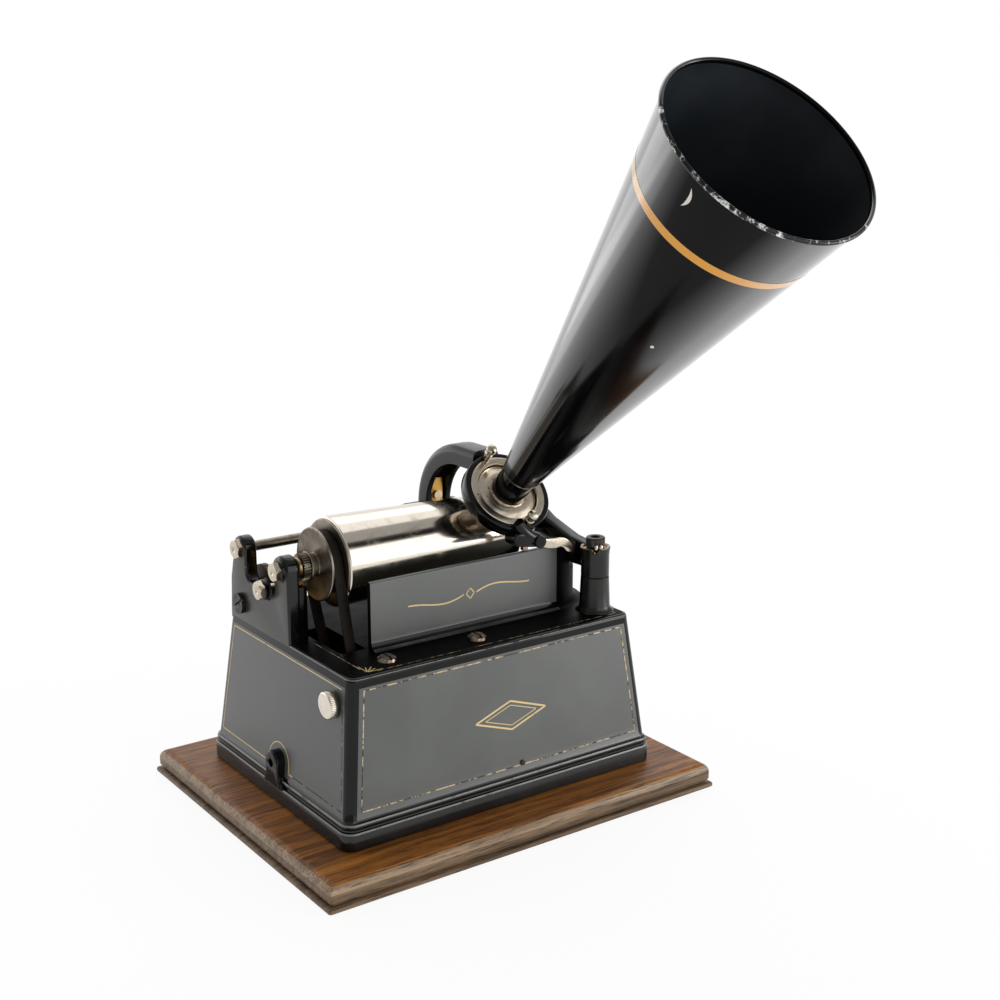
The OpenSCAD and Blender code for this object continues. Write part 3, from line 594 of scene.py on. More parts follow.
def soften(points: Array, radius: float | Sequence[float], closed: bool = False, steps: int = 6) -> Array:
    """Round the corners of a line: each corner becomes a quadratic curve between two points beside it.

    Args:
        points: the corners as rows of two or three numbers.
        radius: how far from each corner its curve starts.
        closed: True where the last corner joins the first.
        steps: points on each curve.
    Returns:
        The rounded line.
    """
    back = np.roll(points, 1, axis=0) - points
    ahead = np.roll(points, -1, axis=0) - points
    reach_back = np.linalg.norm(back, axis=1, keepdims=True)
    reach_ahead = np.linalg.norm(ahead, axis=1, keepdims=True)
    bend = np.broadcast_to(np.asarray(radius, float), (len(points),)).copy()
    if not closed:
        bend[[0, -1]] = 0.0
    bend = np.minimum(bend[:, None], 0.49 * np.minimum(reach_back, reach_ahead))
    start = (points + back / np.maximum(reach_back, TINY) * bend)[:, None]
    stop = (points + ahead / np.maximum(reach_ahead, TINY) * bend)[:, None]
    t = np.linspace(0.0, 1.0, steps)[None, :, None]
    line = (1 - t) ** 2 * start + 2 * t * (1 - t) * points[:, None] + t**2 * stop
    line = line.reshape(-1, points.shape[1])
    fresh = np.concatenate(([True], np.linalg.norm(np.diff(line, axis=0), axis=1) > 1e-6))
    return line[fresh]


def soft_rectangle(length: float, width: float, radius: float, steps: int = CORNER_STEPS) -> Array:
    """Give a rectangle with round corners about the origin, with the same number of points for every size.

    Args:
        length: size across.
        width: size up.
        radius: radius of the corners.
        steps: points on each corner.
    Returns:
        The outline, anticlockwise.
    """
    x, y = length / 2 - radius, width / 2 - radius
    corners = ((x, y, 0), (-x, y, 90), (-x, -y, 180), (x, -y, 270))
    return np.concatenate([arc(cx, cy, radius, a, a + 90, steps) for cx, cy, a in corners])


def inset(outline: Array, depth: float) -> Array:
    """Move a closed anticlockwise outline inwards, each corner along its mitre.

    Args:
        outline: the corners as rows.
        depth: how far each side moves.
    Returns:
        The smaller outline with as many corners.
    """
    ahead = unit(np.roll(outline, -1, axis=0) - outline)
    before = np.roll(ahead, 1, axis=0)
    left, left_before = ahead[:, ::-1] * (-1, 1), before[:, ::-1] * (-1, 1)
    spread = np.maximum(1 + np.sum(left * left_before, axis=1, keepdims=True), 0.4)
    return outline + depth * (left + left_before) / spread


def polar(radius: Array, angle: Array, along: Array) -> Array:
    """Give local points: the radius times the cosine across, times the sine up, and the place along."""
    return np.stack(np.broadcast_arrays(radius * np.cos(angle), radius * np.sin(angle), along), axis=-1)


def lathe(profile: Array | Rows, axes: Axes, turns: int = 96, finish: int | Array = 0) -> Patch:
    """Turn a profile of (radius, along) rows about the axis: radius times cosine across, times sine up.

    Args:
        profile: the rows.
        axes: the frame of the axis.
        turns: points round the circle.
        finish: number of the finish.
    Returns:
        The closed surface.
    """
    angle = np.linspace(0.0, 2 * np.pi, turns, endpoint=False)
    radius, along = np.hsplit(np.asarray(profile, float), 2)
    return Patch(axes.place(polar(radius, angle, along)), wrap=True, finish=finish)


def slab(outline: Array, low: float, high: float, edge: float, axes: Axes, finish: int | Array = 0) -> Patch:
    """Make a plate with rounded rims: insets of edge * (1 - sin a) at depths of edge * (1 - cos a).

    Args:
        outline: the closed anticlockwise outline.
        low: along of one face.
        high: along of the other face.
        edge: radius of the rims.
        axes: the frame of the outline.
        finish: number of the finish.
    Returns:
        The closed surface.
    """
    angle = np.linspace(0.0, np.pi / 2, 5)
    depth, rise = edge * (1 - np.sin(angle)), edge * (1 - np.cos(angle))
    flat = np.stack([inset(outline, float(d)) for d in (*depth, *depth[::-1])])
    local = raised(flat, (*(low + rise), *(high - rise)[::-1]))
    return Patch(axes.place(local), wrap=True, caps=True, finish=finish)


def sweep(
    profile: Array, path: Array, side: Array, up: Array, finish: int | Array = 0, caps: bool = True
) -> Patch:
    """Carry a closed profile along a path: path + profile across * side + profile up * up.

    Args:
        profile: the outline as rows.
        path: the points that it passes.
        side: the side direction at each point.
        up: the up direction at each point.
        finish: number of the finish.
        caps: True to close both ends.
    Returns:
        The surface.
    """
    side, up = np.broadcast_to(side, path.shape), np.broadcast_to(up, path.shape)
    points = path[:, None] + profile[None, :, :1] * side[:, None] + profile[None, :, 1:] * up[:, None]
    return Patch(points, wrap=True, caps=caps, finish=finish)


def ring_plate(outline: Array, hole: Array, along: float, axes: Axes, finish: int | Array = 0) -> Patch:
    """Fill the flat between an outline and a hole: rays from the hole's middle through every corner of both.

    Args:
        outline: the outer loop, seen whole from the hole's middle.
        hole: the inner loop.
        along: the height of the flat.
        axes: the frame of the loops.
        finish: number of the finish.
    Returns:
        The flat surface.
    """
    middle = (hole.min(axis=0) + hole.max(axis=0)) / 2
    both = np.concatenate((outline, hole)) - middle
    angle = np.unique(np.round(np.arctan2(both[:, 1], both[:, 0]), 6))
    ray = np.stack((np.cos(angle), np.sin(angle)), axis=-1)

    def reach(loop: Array) -> Array:
        """Cut every ray with the loop's sides and keep the farthest cut.

        Args:
            loop: the corners as rows.
        Returns:
            The distance from the middle to the loop along each ray.
        """
        start = loop - middle
        edge = np.roll(start, -1, axis=0) - start
        turn = ray[:, :1] * edge[None, :, 1] - ray[:, 1:] * edge[None, :, 0]
        turn = np.where(np.abs(turn) < TINY, TINY, turn)
        far = (start[:, 0] * edge[:, 1] - start[:, 1] * edge[:, 0]) / turn
        share = (start[None, :, 0] * ray[:, 1:] - start[None, :, 1] * ray[:, :1]) / turn
        inside = (share > -1e-5) & (share < 1 + 1e-5) & (far > 0)
        return np.max(np.where(inside, far, 0.0), axis=1)

    flat = np.stack([middle + reach(loop)[:, None] * ray for loop in (outline, hole)])
    return Patch(axes.place(raised(flat, along)), wrap=True, finish=finish)


def pin_line(path: Array, normal: Array, width: float, finish: int | Array = 0, lift: float = 0.06) -> Patch:
    """Lay a thin flat line on a surface: path plus and minus half the width across, lifted along the normal.

    Args:
        path: points on the surface.
        normal: the surface's outward direction at each point, or one for all.
        width: width of the line.
        finish: number of the finish.
        lift: height above the surface.
    Returns:
        The line, facing outwards.
    """
    normal = np.broadcast_to(np.asarray(normal, float), path.shape)
    side = unit(np.cross(normal, np.gradient(path, axis=0)))
    lifted = path + lift * normal
    return Patch(np.stack((lifted + side * width / 2, lifted - side * width / 2), axis=1), finish=finish)


@dataclass
class Board:
    """The oak board under the case: a thin lip, a groove and a bullnose edge.

    A row of the lip is a distance inwards and a height. The lowest rows of the nose are paler, for handling
    wear and a painted highlight.
    """

    length: float = 240.0
    width: float = 196.6
    height: float = 13.5
    corner: float = 1.2
    nose: float = 4.6
    nose_in: float = 1.5
    pale_nose_rows: int = 4
    lip: Rows = (
        (0.7, 0), (0, 0.6), (0, 2.0), (0.5, 2.6), (3.3, 2.7), (3.5, 3.4), (3.3, 4.2), (1.8, 4.4),
        (1.5, 4.9),
    )

    def build(self) -> None:
        """Loft rectangles up the edge profile and close the top and the underside."""
        angle = np.radians(np.linspace(0, 90, 8))
        inwards = self.nose_in + self.nose * (1 - np.cos(angle))
        side = np.column_stack((inwards, self.height - self.nose * (1 - np.sin(angle))))
        edge = np.concatenate((rows(*self.lip), side))
        sizes = [(self.length - 2 * d, self.width - 2 * d) for d in edge[:, 0]]
        loops = np.stack([soft_rectangle(*size, self.corner) for size in sizes])
        row = np.arange(len(edge) - 1)[:, None] - len(self.lip)
        # The lowest rows of the nose take a paler oak: handling wear with a painted highlight.
        worn = np.where(row < 0, 2, np.where(row < self.pale_nose_rows, 1, 0))
        board = Patch(raised(loops, edge[:, 1]), wrap=True, caps=True, finish=worn, cap_finish=0)
        finishes = [Finishes.OAK, Finishes.OAK_EDGE, Finishes.OAK_LIP]
        make_piece("oak_board", [board], finishes, "base", ["base_board"], crease=50)


class Look(IntEnum):
    """The case's finishes in the order of its material slots."""

    WALL = 0
    GLOSS = 1
    STANDARD = 2
    BED = 3
    SATIN = 4
    CHIPPED = 5
    FOOT = 6
    EDGE = 7
    SHEEN = 8


@dataclass
class Case:
    """The cast case: plinth, sloping walls, bed with belt slot, standards, front plate, gate post and lugs.

    A row of the band is a length, a depth, a corner radius and a height. A row of a turned boss is a radius
    and a place along its axis. Two rows of the band and one row of the rim carry pale lines of painted
    highlight.
    """

    foot_length: float = 189.0
    foot_width: float = 144.0
    foot_z: float = 23.0
    bed_length: float = 173.0
    bed_width: float = 128.4
    rim: float = 2.0
    corner: float = 5.0
    wall_start: float = 28.4
    slot_x: Pair = (-72.0, -57.5)
    slot_y: Pair = (-30.0, 12.0)
    slot_corner: float = 1.5
    slot_levels: tuple[float, ...] = (BED, BED - 0.2, BED - 4.5)
    band: Rows = (
        (191.6, 146.6, 6.4, 13.5), (193.0, 148.0, 7.0, 14.3), (193.0, 148.0, 7.0, 22.2),
        (192.3, 147.3, 6.8, 23.0), (190.4, 145.4, 6.4, 23.3), (190.2, 145.2, 6.4, 24.0),
        (190.9, 145.9, 6.5, 24.3), (191.4, 146.4, 6.6, 25.0), (191.4, 146.4, 6.6, 26.2),
        (190.6, 145.6, 6.4, 27.0), (188.9, 143.9, 5.6, 27.5),
    )
    bead_highlight_rows: tuple[int, int] = (2, 8)
    rim_highlight_row: int = 2
    wall_x: Pair = (79.3, 86.5)
    standard_rim: float = 1.4
    rod_boss: float = 6.8
    plate_y: float = -33.0
    plate_x: Pair = (-57.0, 58.0)
    plate_bend: float = 24.9
    plate_top: float = 133.0
    plate_fall: float = 16.0
    fall_start: float = 68.0
    fall_length: float = 3.0
    plate_half: float = 1.5
    plate_foot: float = 5.0
    plate_crown: float = 1.2
    gloss_columns: int = 6
    sheen_columns: tuple[int, ...] = (1, 2)
    post: Rows = (
        (0, 97), (11.2, 97.2), (9.8, 97.8), (8.8, 98.8), (8.3, 100.4), (7.65, 116.2), (7.3, 116.7),
        (0, 116.7),
    )
    knob_boss: Rows = ((0, -88.9), (4.6, -88.9), (5, -88.5), (5, -84), (5.6, -82))
    idler_boss: Rows = ((0, -89.6), (4.9, -89.6), (5.4, -89.1), (5.4, -87.4), (6.2, -86.4))
    pivot_boss: Rows = ((0, -88.7), (5.1, -88.7), (5.6, -88.2), (5.6, -87.2), (6.4, -86.4))
    key_boss: Rows = ((6, 93.5), (8.5, 93.5), (9, 93), (9, 90), (9.8, 87))
    key_axis: Pair = (20.0, 53.0)
    lug_foot: Rows = ((9.4, 22.6), (8.0, 25.6), (6.6, 27.6), (6.5, 33.0))
    lug_z: float = 35.0
    lug_radius: float = 6.5
    lug_bore: float = 2.4
    lug_rim: float = 1.2
    lug_x: Pair = (88.0, 98.0)
    bore_levels: tuple[float, ...] = (98.0, 97.6, 92.0)

    def outer(self, z: float | Array) -> tuple[float | Array, float | Array]:
        """Give the walls' outer length and depth at a height, on straight lines from the foot to the bed.

        Args:
            z: the height or heights.
        Returns:
            The length and the depth.
        """
        share = (z - self.foot_z) / (BED - self.foot_z)
        length = self.foot_length + (self.bed_length - self.foot_length) * share
        return length, self.foot_width + (self.bed_width - self.foot_width) * share

    def walls(self) -> list[Patch]:
        """Loft round-cornered rectangles up the plinth, the bead and the walls to the round rim of the bed.

        Returns:
            The walls, the rim, the bed and the sides of the belt slot.
        """
        top = BED - self.rim
        levels = np.array((*np.linspace(self.wall_start, top - 3.0, 11), top))
        rise = np.column_stack((*self.outer(levels), np.full(len(levels), self.corner), levels))
        angle = np.radians(np.linspace(0, 90, 7))[1:]
        fall = self.rim * (1 - np.cos(angle))
        length, width = self.outer(top)
        lift = top + self.rim * np.sin(angle)
        roll = np.column_stack((length - 2 * fall, width - 2 * fall, self.corner - fall, lift))
        table = np.concatenate((rows(*self.band), rise, roll))
        loops = raised(np.stack([soft_rectangle(*row) for row in table[:, :3]]), table[:, 3])
        split = len(self.band) + len(rise) - 1
        rounded = np.arange(loops.shape[1])[None] % CORNER_STEPS < CORNER_STEPS - 1
        level = np.arange(split)[:, None]
        wall = np.where(rounded | (level == split - 1), Look.GLOSS, Look.WALL)
        look = np.where(level < len(self.band), Look.FOOT, wall)
        # Two rows of the band and one row of the rim take broken pale lines of painted highlight.
        look = np.where(np.isin(level, self.bead_highlight_rows), Look.EDGE, look)
        rim_look = np.where(np.arange(len(roll))[:, None] == self.rim_highlight_row, Look.EDGE, Look.GLOSS)
        (left, right), (near, far) = self.slot_x, self.slot_y
        hole = soft_rectangle(right - left, far - near, self.slot_corner)
        hole = hole + ((left + right) / 2, (near + far) / 2)
        drop = raised(np.stack([hole] * len(self.slot_levels)), self.slot_levels)
        return [
            Patch(loops[: split + 1], wrap=True, finish=look),
            Patch(loops[split:], wrap=True, finish=rim_look),
            ring_plate(loops[-1, :, :2], hole, BED, post_axes(0.0, 0.0), finish=Look.BED),
            Patch(drop, wrap=True, finish=Look.GLOSS),
        ]

    def standards(self) -> list[Patch]:
        """Cut both bearing standards as plates with rounded rims, with a rail and a rib beside them.

        Returns:
            The four plates.
        """
        # The outlines are depths and heights, seen from the left.
        side = shaft_axes(0.0, 0.0)
        left = np.concatenate(
            (
                rows((-3.4, 94.0), (63.2, 94.0), (63.2, 98.5), (61.6, 118.0)),
                arc(ROD_Y, ROD_Z, self.rod_boss, -8, 186, 22),
                arc(38.6, 124.5, 4.5, 0, -90, 8),
                arc(16.2, 124.5, 4.5, -90, -180, 8),
                arc(4.2, 134.8, 7.6, 0, 180, 22),
            )
        )
        right = np.concatenate(
            (
                rows((36.0, 94.0), (63.2, 94.0), (63.2, 98.5)),
                arc(ROD_Y, ROD_Z, self.rod_boss, -12, 182, 22),
                rows((38.5, 122.0), (36.0, 112.0)),
            )
        )
        rail = soft_rectangle(50.0, 10.0, 1.5) + (16.5, BED)
        rib = soft_rectangle(4.8, 29.0, 1.0) + (1.0, 111.5)
        low, high = self.wall_x
        made = [
            slab(left, -high, -low, self.standard_rim, side, finish=Look.CHIPPED),
            slab(right, low, high, self.standard_rim, side, finish=Look.GLOSS),
            slab(rail, low, high, 1.5, side, finish=Look.GLOSS),
            slab(rib, -low - 0.5, -low + 5.1, 0.8, side, finish=Look.GLOSS),
        ]
        for plate in made[:2]:
            plate.cap_finish = Look.STANDARD
        return made

    def front_plate(self) -> Patch:
        """Carry the plate's upright profile along its plan: a straight run and a quarter round to the rail.

        Returns:
            The plate, whose top falls smoothly where it nears the rail.
        """
        start, stop = self.plate_x
        straight = np.column_stack((np.linspace(start, stop, 24), np.full(24, self.plate_y)))
        bend = arc(stop, self.plate_y + self.plate_bend, self.plate_bend, -90, 0, 28)[1:]
        plan = np.concatenate((straight, bend))
        tangent = unit(np.gradient(plan, axis=0))
        outward = np.column_stack((tangent[:, 1], -tangent[:, 0]))
        share = np.clip((plan[:, 0] - self.fall_start) / self.fall_length, 0.0, 1.0)
        top = self.plate_top - self.plate_fall * share * share * (3 - 2 * share)
        half, crown = self.plate_half, self.plate_crown
        foot = arc(half + self.plate_foot, BED + self.plate_foot, self.plate_foot, -90, -180, 8) - (0.0, 0.1)
        ahead = arc(half - crown, -crown, crown, 0, 90, 5)
        behind = arc(crown - half, -crown, crown, 90, 180, 5)
        profile = np.concatenate((foot, ahead, behind, rows((-half, BED + 3.0), (-half, BED - 1.0))))
        at_top = np.repeat((0.0, 1.0, 0.0), (len(foot), len(ahead) + len(behind), 2))
        place = plan[:, None] + profile[None, :, :1] * outward[:, None]
        level = profile[None, :, 1] + at_top[None] * top[:, None]
        column, run = np.arange(len(profile))[None], np.arange(len(plan) - 1)[:, None]
        look = np.where(column < self.gloss_columns, Look.GLOSS, Look.WALL)
        # The fillet's columns take the grey line of painted sheen.
        look = np.where(np.isin(column, self.sheen_columns), Look.SHEEN, look)
        # The quarter round drops the painted sheen and takes the bed's dull black: painted shade where the
        # plate turns away from the light.
        look = np.where(run < len(straight), look, Look.BED)
        return Patch(np.concatenate((place, level[..., None]), axis=-1), wrap=True, caps=True, finish=look)

    def bosses(self) -> list[Patch]:
        """Turn the gate post and the bosses of the knob, the idler, the pivot and the key.

        Returns:
            The turned surfaces.
        """
        return [
            lathe(self.post, post_axes(*POST), finish=Look.SATIN),
            lathe(self.knob_boss, shaft_axes(*KNOB), 48),
            lathe(self.idler_boss, shaft_axes(IDLER_Y, IDLER_Z), 48, finish=Look.GLOSS),
            lathe(self.pivot_boss, shaft_axes(MANDREL_Y, MANDREL_Z), 48, finish=Look.GLOSS),
            lathe(self.key_boss, shaft_axes(*self.key_axis), 64),
        ]

    def lugs(self) -> list[Patch]:
        """Shape the lug at the foot of each end wall, with a rounded rim and a bore.

        Returns:
            The sides, the face and the bore of both lugs.
        """
        foot = soften(rows(*self.lug_foot), 1.5)
        crown = arc(0, self.lug_z, self.lug_radius, 0, 180, 24)
        outline = np.concatenate((foot, crown, (foot * (-1, 1))[::-1]))
        bore = circle(0, self.lug_z, self.lug_bore, 32)
        root, face = self.lug_x
        angle = np.linspace(0, np.pi / 2, 5)
        depth = (0.0, *(self.lug_rim * (1 - np.cos(angle))))
        heights = (root, *(face - self.lug_rim + self.lug_rim * np.sin(angle)))
        side = raised(np.stack([inset(outline, float(d)) for d in depth]), heights)
        hole = raised(np.stack([bore] * len(self.bore_levels)), self.bore_levels)
        made = []
        for axes in (LEFT_WALL, RIGHT_WALL):
            made += [
                Patch(axes.place(side), wrap=True, finish=Look.GLOSS),
                ring_plate(inset(outline, self.lug_rim), bore, face, axes, finish=Look.GLOSS),
                Patch(axes.place(hole), wrap=True, finish=Look.GLOSS),
            ]
        return made

    def build(self) -> None:
        """Join the casting into one piece."""
        patches = [*self.walls(), *self.standards(), self.front_plate(), *self.bosses(), *self.lugs()]
        finishes = [Finishes[look.name] for look in Look]
        nodes = ["plinth", "case", "case_lugs", "bed_plate"]
        make_piece("case_casting", patches, finishes, "base", nodes, crease=30)


@dataclass
class Train:
    """The mandrel, its shaft and pulley, the belt and the feed screw.

    A row of a profile is a radius and a place along the axis. The pulley's places start at its left flange.
    """

    rim_x: float = -59.3
    tip_x: float = 48.7
    large: float = 23.7
    small: float = 20.6
    bore: float = 4.0
    pulley_x: float = -8.1
    pulley_profile: Rows = (
        (4.0, -4.7), (7.0, -4.7), (7.4, -4.4), (7.4, -3.5), (6.2, -3.2), (6.0, -2.9), (6.0, -0.3), (6.3, 0),
        (9, 0.2), (16.5, 0.2), (17, 0), (18.7, 0), (19.2, 0.3), (19.2, 0.9), (18.8, 1.2), (16.2, 1.2),
        (15.8, 1.6), (15.8, 7.0), (16.2, 7.4), (21.6, 7.5), (22.3, 7.6), (22.6, 7.8), (22.6, 8.1),
        (4.0, 8.1),
    )
    axle_profile: Rows = (
        (2.05, -78.6), (5.0, -78.6), (5.4, -78.2), (5.4, -76.9), (5.1, -76.6), (3.4, -76.5), (3.4, -72.5),
        (4, -72.4), (4, 69.6), (3.6, 70), (3.2, 70), (0, 66.8),
    )
    pitch: float = 1.0
    thread_radius: float = 4.0
    thread_depth: float = 0.5
    thread_x: Pair = (-72.0, 78.6)
    collar_profile: Rows = (
        (2.6, -78.3), (4.2, -78.3), (4.6, -77.9), (4.6, -76.5), (2.4, -76.4), (2.4, -72.2), (4, -72.1),
        (4, -72),
    )
    drive_axis: Pair = (-24.0, 54.0)
    belt_x: float = -3.8
    belt_radii: Pair = (16.65, 10.85)
    belt_width: float = 5.8
    belt_thickness: float = 1.4
    belt_rim: float = 0.45

    def mandrel(self) -> None:
        """Turn the tapered sleeve with its rolled lips and its hollow right end."""
        rim, tip, large, small = self.rim_x, self.tip_x, self.large, self.small
        taper = np.column_stack((np.linspace(large, small, 24), np.linspace(rim + 1.2, tip - 1.6, 24)))
        profile = np.concatenate(
            (
                rows((self.bore, rim), (large - 1.0, rim), (large - 0.4, rim + 0.15), (large, rim + 0.6)),
                taper,
                rows((small - 0.2, tip - 0.5), (small - 0.8, tip), (small - 1.5, tip - 0.2)),
                rows((small - 2, tip - 0.8), (10, tip - 1.5), (9, tip - 1.2), (9, tip + 0.7)),
                rows((8.6, tip + 1), (self.bore, tip + 1)),
            )
        )
        sleeve = lathe(profile, shaft_axes(MANDREL_Y, MANDREL_Z), 192)
        make_piece("nickel_mandrel", [sleeve], [Finishes.MANDREL], "mandrel_body", ["mandrel"], crease=40)

    def turned(self) -> None:
        """Turn the belt pulley with its flanges, groove and hub, and the shaft with its collar."""
        axes = shaft_axes(MANDREL_Y, MANDREL_Z)
        wheel = lathe(rows(*self.pulley_profile) + (0.0, self.rim_x + self.pulley_x), axes, 160)
        make_piece("belt_pulley", [wheel], [Finishes.STEEL], "mandrel_body", ["mandrel_pulley"], crease=30)
        axle = lathe(self.axle_profile, axes, 64)
        make_piece("mandrel_axle", [axle], [Finishes.BRASS_STEEL], "mandrel_body", ["mandrel_shaft"])

    def screw(self) -> None:
        """Cut the feed thread as a radius that falls and rises along a helix, coarser than real to show."""
        along = np.arange(*self.thread_x, self.pitch / 6)
        angle = np.linspace(0, 2 * np.pi, 32, endpoint=False)
        phase = (along[:, None] / self.pitch - angle[None] / (2 * np.pi)) % 1.0
        radius = self.thread_radius - self.thread_depth * np.abs(2 * phase - 1)
        axes = shaft_axes(FEED_Y, FEED_Z)
        thread = Patch(axes.place(polar(radius, angle, along[:, None])), wrap=True, caps=True)
        patches = [thread, lathe(self.collar_profile, axes, 32)]
        make_piece("feed_thread", patches, [Finishes.STEEL], "feed_body", ["feed_screw"])

    def belt(self) -> None:
        """Carry the belt's flat section round both pulleys on their outer tangents."""
        top, low = np.array((MANDREL_Y, MANDREL_Z)), np.array(self.drive_axis)
        apart = low - top
        lean = math.degrees(math.atan2(apart[1], apart[0]))
        wide, narrow = self.belt_radii
        touch = math.degrees(math.acos((wide - narrow) / np.linalg.norm(apart)))
        over = arc(*top, wide, lean + touch, lean + 360 - touch, 72)
        under = arc(*low, narrow, lean - touch, lean + touch, 40)
        runs = [np.linspace(a, b, 24)[1:-1] for a, b in ((over[-1], under[0]), (under[-1], over[0]))]
        loop = np.concatenate((over, runs[0], under, runs[1], over[:1]))
        path = np.column_stack((np.full(len(loop), self.rim_x + self.belt_x), loop))
        tangent = unit(np.gradient(np.concatenate((path[-2:-1], path, path[1:2])), axis=0)[1:-1])
        section = soft_rectangle(self.belt_width, self.belt_thickness, self.belt_rim, 4)
        band = sweep(section, path, RIGHT, np.cross(RIGHT, tangent), caps=False)
        make_piece("leather_belt", [band], [Finishes.LEATHER], "base", ["belt"])

    def build(self) -> None:
        """Make the pieces of the train in order."""
        self.mandrel()
        self.turned()
        self.screw()
        self.belt()


@dataclass
class Carriage:
    """The carrier that slides on the back rod: hub, arch, eye, lever block and lift lever.

    The bar's end and face and the lever's outlines are about the lever's pin. Each plate is two depths,
    which run forwards from the part's middle, and the radius of its rims.
    """

    arch_x: float = 30.8
    arch_y: float = 7.9
    arch_z: float = 144.2
    arch_r: float = 35.0
    arch_foot: float = 134.0
    arch_end: float = -9.0
    arch_width: float = 16.4
    arch_half: float = 5.4
    channel: float = 9.8
    channel_roof: float = 0.6
    arch_rims: tuple[float, ...] = (0.8, 4.6, 4.6, 0.8, 0.6, 0.8, 0.8, 0.6)
    eye_profile: Rows = (
        (21.3, -0.5), (23.2, -0.4), (23.7, -0.6), (24, -1.1), (24, -7.2), (23.6, -7.8), (23, -8),
        (19.4, -8), (19.3, -7.6), (19.3, -6.2), (21.25, -6.1), (21.3, -0.5),
    )
    hub_profile: Rows = ((6.1, 17.6), (8.0, 17.6), (8.6, 18.2), (8.6, 47.0), (8.0, 47.6), (6.1, 47.6))
    neck_line: Rows = (
        (27.4, -42.0, 152.4), (29.6, -43.4, 147.6), (34.6, -43.6, 143.6), (39.2, -43.6, 141.6),
    )
    neck_bend: float = 4.0
    neck_radius: float = 3.7
    lever_x: float = 38.6
    lever_z: float = 141.4
    bar_end: Place = (-12.2, 2.4, 3.6)
    bar_face: Rows = ((-3.4, -2.9), (-3.4, 4.1))
    bar_depths: Place = (37.0, 46.6, 1.2)
    cheeks: Rows = ((37.1, 41.0, 0.6), (43.4, 46.5, 0.8))
    cheek_radius: float = 3.4
    cheek_gap: float = 0.05
    ears: Rows = ((36.0, 41.0, 0.8), (43.4, 48.5, 0.5))
    ear_radius: float = 3.45
    thumb: Rows = (
        (-2.9, 0), (-2, -2.1), (0, -2.9), (4, -4.6), (8.7, -6.5), (13.7, -7.2), (17.1, -6.6), (19.2, -7.8),
        (21.3, -10.2), (23.2, -10.9), (25.4, -10.6), (26, -8.6), (24.2, -5.8), (21.2, -2.9), (17.9, -1.8),
        (13.7, -1.8), (8.7, -1.3), (4, 0.4), (2, 2.1), (0, 2.9), (-2, 2.1),
    )
    thumb_depths: Place = (41.4, 43.0, 0.5)
    cam_depths: Place = (31.8, 34.8, 0.4)
    cam: Rows = ((-1.6, -8.1), (1.6, -8.1), (1.6, 1.0), (0, 2.2), (-1.6, 1.0))
    pin_profile: Rows = ((0, 31.8), (1.5, 31.8), (1.6, 32), (1.6, 43.2), (0, 43.2))

    def arch(self) -> Patch:
        """Carry a channel section, open inside, up the rear leg, over a quarter round and along the bridge.

        Returns:
            The arch.
        """
        y, z, r = self.arch_y, self.arch_z, self.arch_r
        leg = np.column_stack((np.full(6, y + r), np.linspace(self.arch_foot, z, 7)[:-1]))
        bridge = np.column_stack((np.linspace(y, self.arch_end, 9)[1:], np.full(8, z + r)))
        line = np.concatenate((leg, arc(y, z, r, 0, 90, 40), bridge))
        path = np.column_stack((np.full(len(line), self.arch_x), line))
        outward = np.cross(unit(np.gradient(path, axis=0)), RIGHT)
        wide, gap, half, roof = self.arch_width / 2, self.channel / 2, self.arch_half, self.channel_roof
        corners = rows(
            (-wide, -half), (-wide, half), (wide, half), (wide, -half),
            (gap, -half), (gap, roof), (-gap, roof), (-gap, -half),
        )
        section = soften(corners, self.arch_rims, closed=True, steps=7)
        return sweep(section, path, RIGHT, outward, finish=1)

    def block(self) -> list[Patch]:
        """Shape the block that holds the lever: a bar with two cheeks, two ears and the neck up to the eye.

        Returns:
            The surfaces of the block.
        """
        x, z, front = self.lever_x, self.lever_z, front_axes()
        end_x, end_z, end_radius = self.bar_end
        end = arc(x + end_x, z + end_z, end_radius, 80, 260, 20)
        bar = np.concatenate((rows(*self.bar_face) + (x, z), end))
        cheek = inset(np.concatenate((arc(x, z, self.cheek_radius, -100, 80, 20), end)), self.cheek_gap)
        ear = circle(x, z, self.ear_radius, 40)
        line = soften(rows(*self.neck_line), self.neck_bend)
        ahead = unit(np.gradient(line, axis=0))
        neck = sweep(circle(0.0, 0.0, self.neck_radius, 32), line, BACK, np.cross(ahead, BACK))
        return [
            slab(bar, *self.bar_depths, front),
            *(slab(cheek, *depths, front) for depths in self.cheeks),
            neck,
            *(slab(ear, *depths, front) for depths in self.ears),
        ]

    def build(self) -> None:
        """Make the carrier casting and the lift lever."""
        eye = lathe(self.eye_profile, FACE, 128)
        hub = lathe(self.hub_profile, shaft_axes(ROD_Y, ROD_Z), 64)
        patches = [self.arch(), eye, hub, *self.block()]
        make_piece("carrier_casting", patches, [Finishes.GLOSS, Finishes.SATIN], "carrier", ["carrier_arm"])
        pivot = self.lever_x, self.lever_z
        thumb = soften(rows(*self.thumb) + pivot, 2.0, closed=True, steps=5)
        cam = soften(rows(*self.cam) + pivot, 0.8, closed=True)
        patches = [
            slab(thumb, *self.thumb_depths, front_axes()),
            slab(cam, *self.cam_depths, front_axes(), finish=1),
            lathe(self.pin_profile, front_axes(*pivot), 24),
        ]
        make_piece("thumb_lever", patches, [Finishes.NICKEL, Finishes.COPPER], "lever_body", ["lift_lever"])


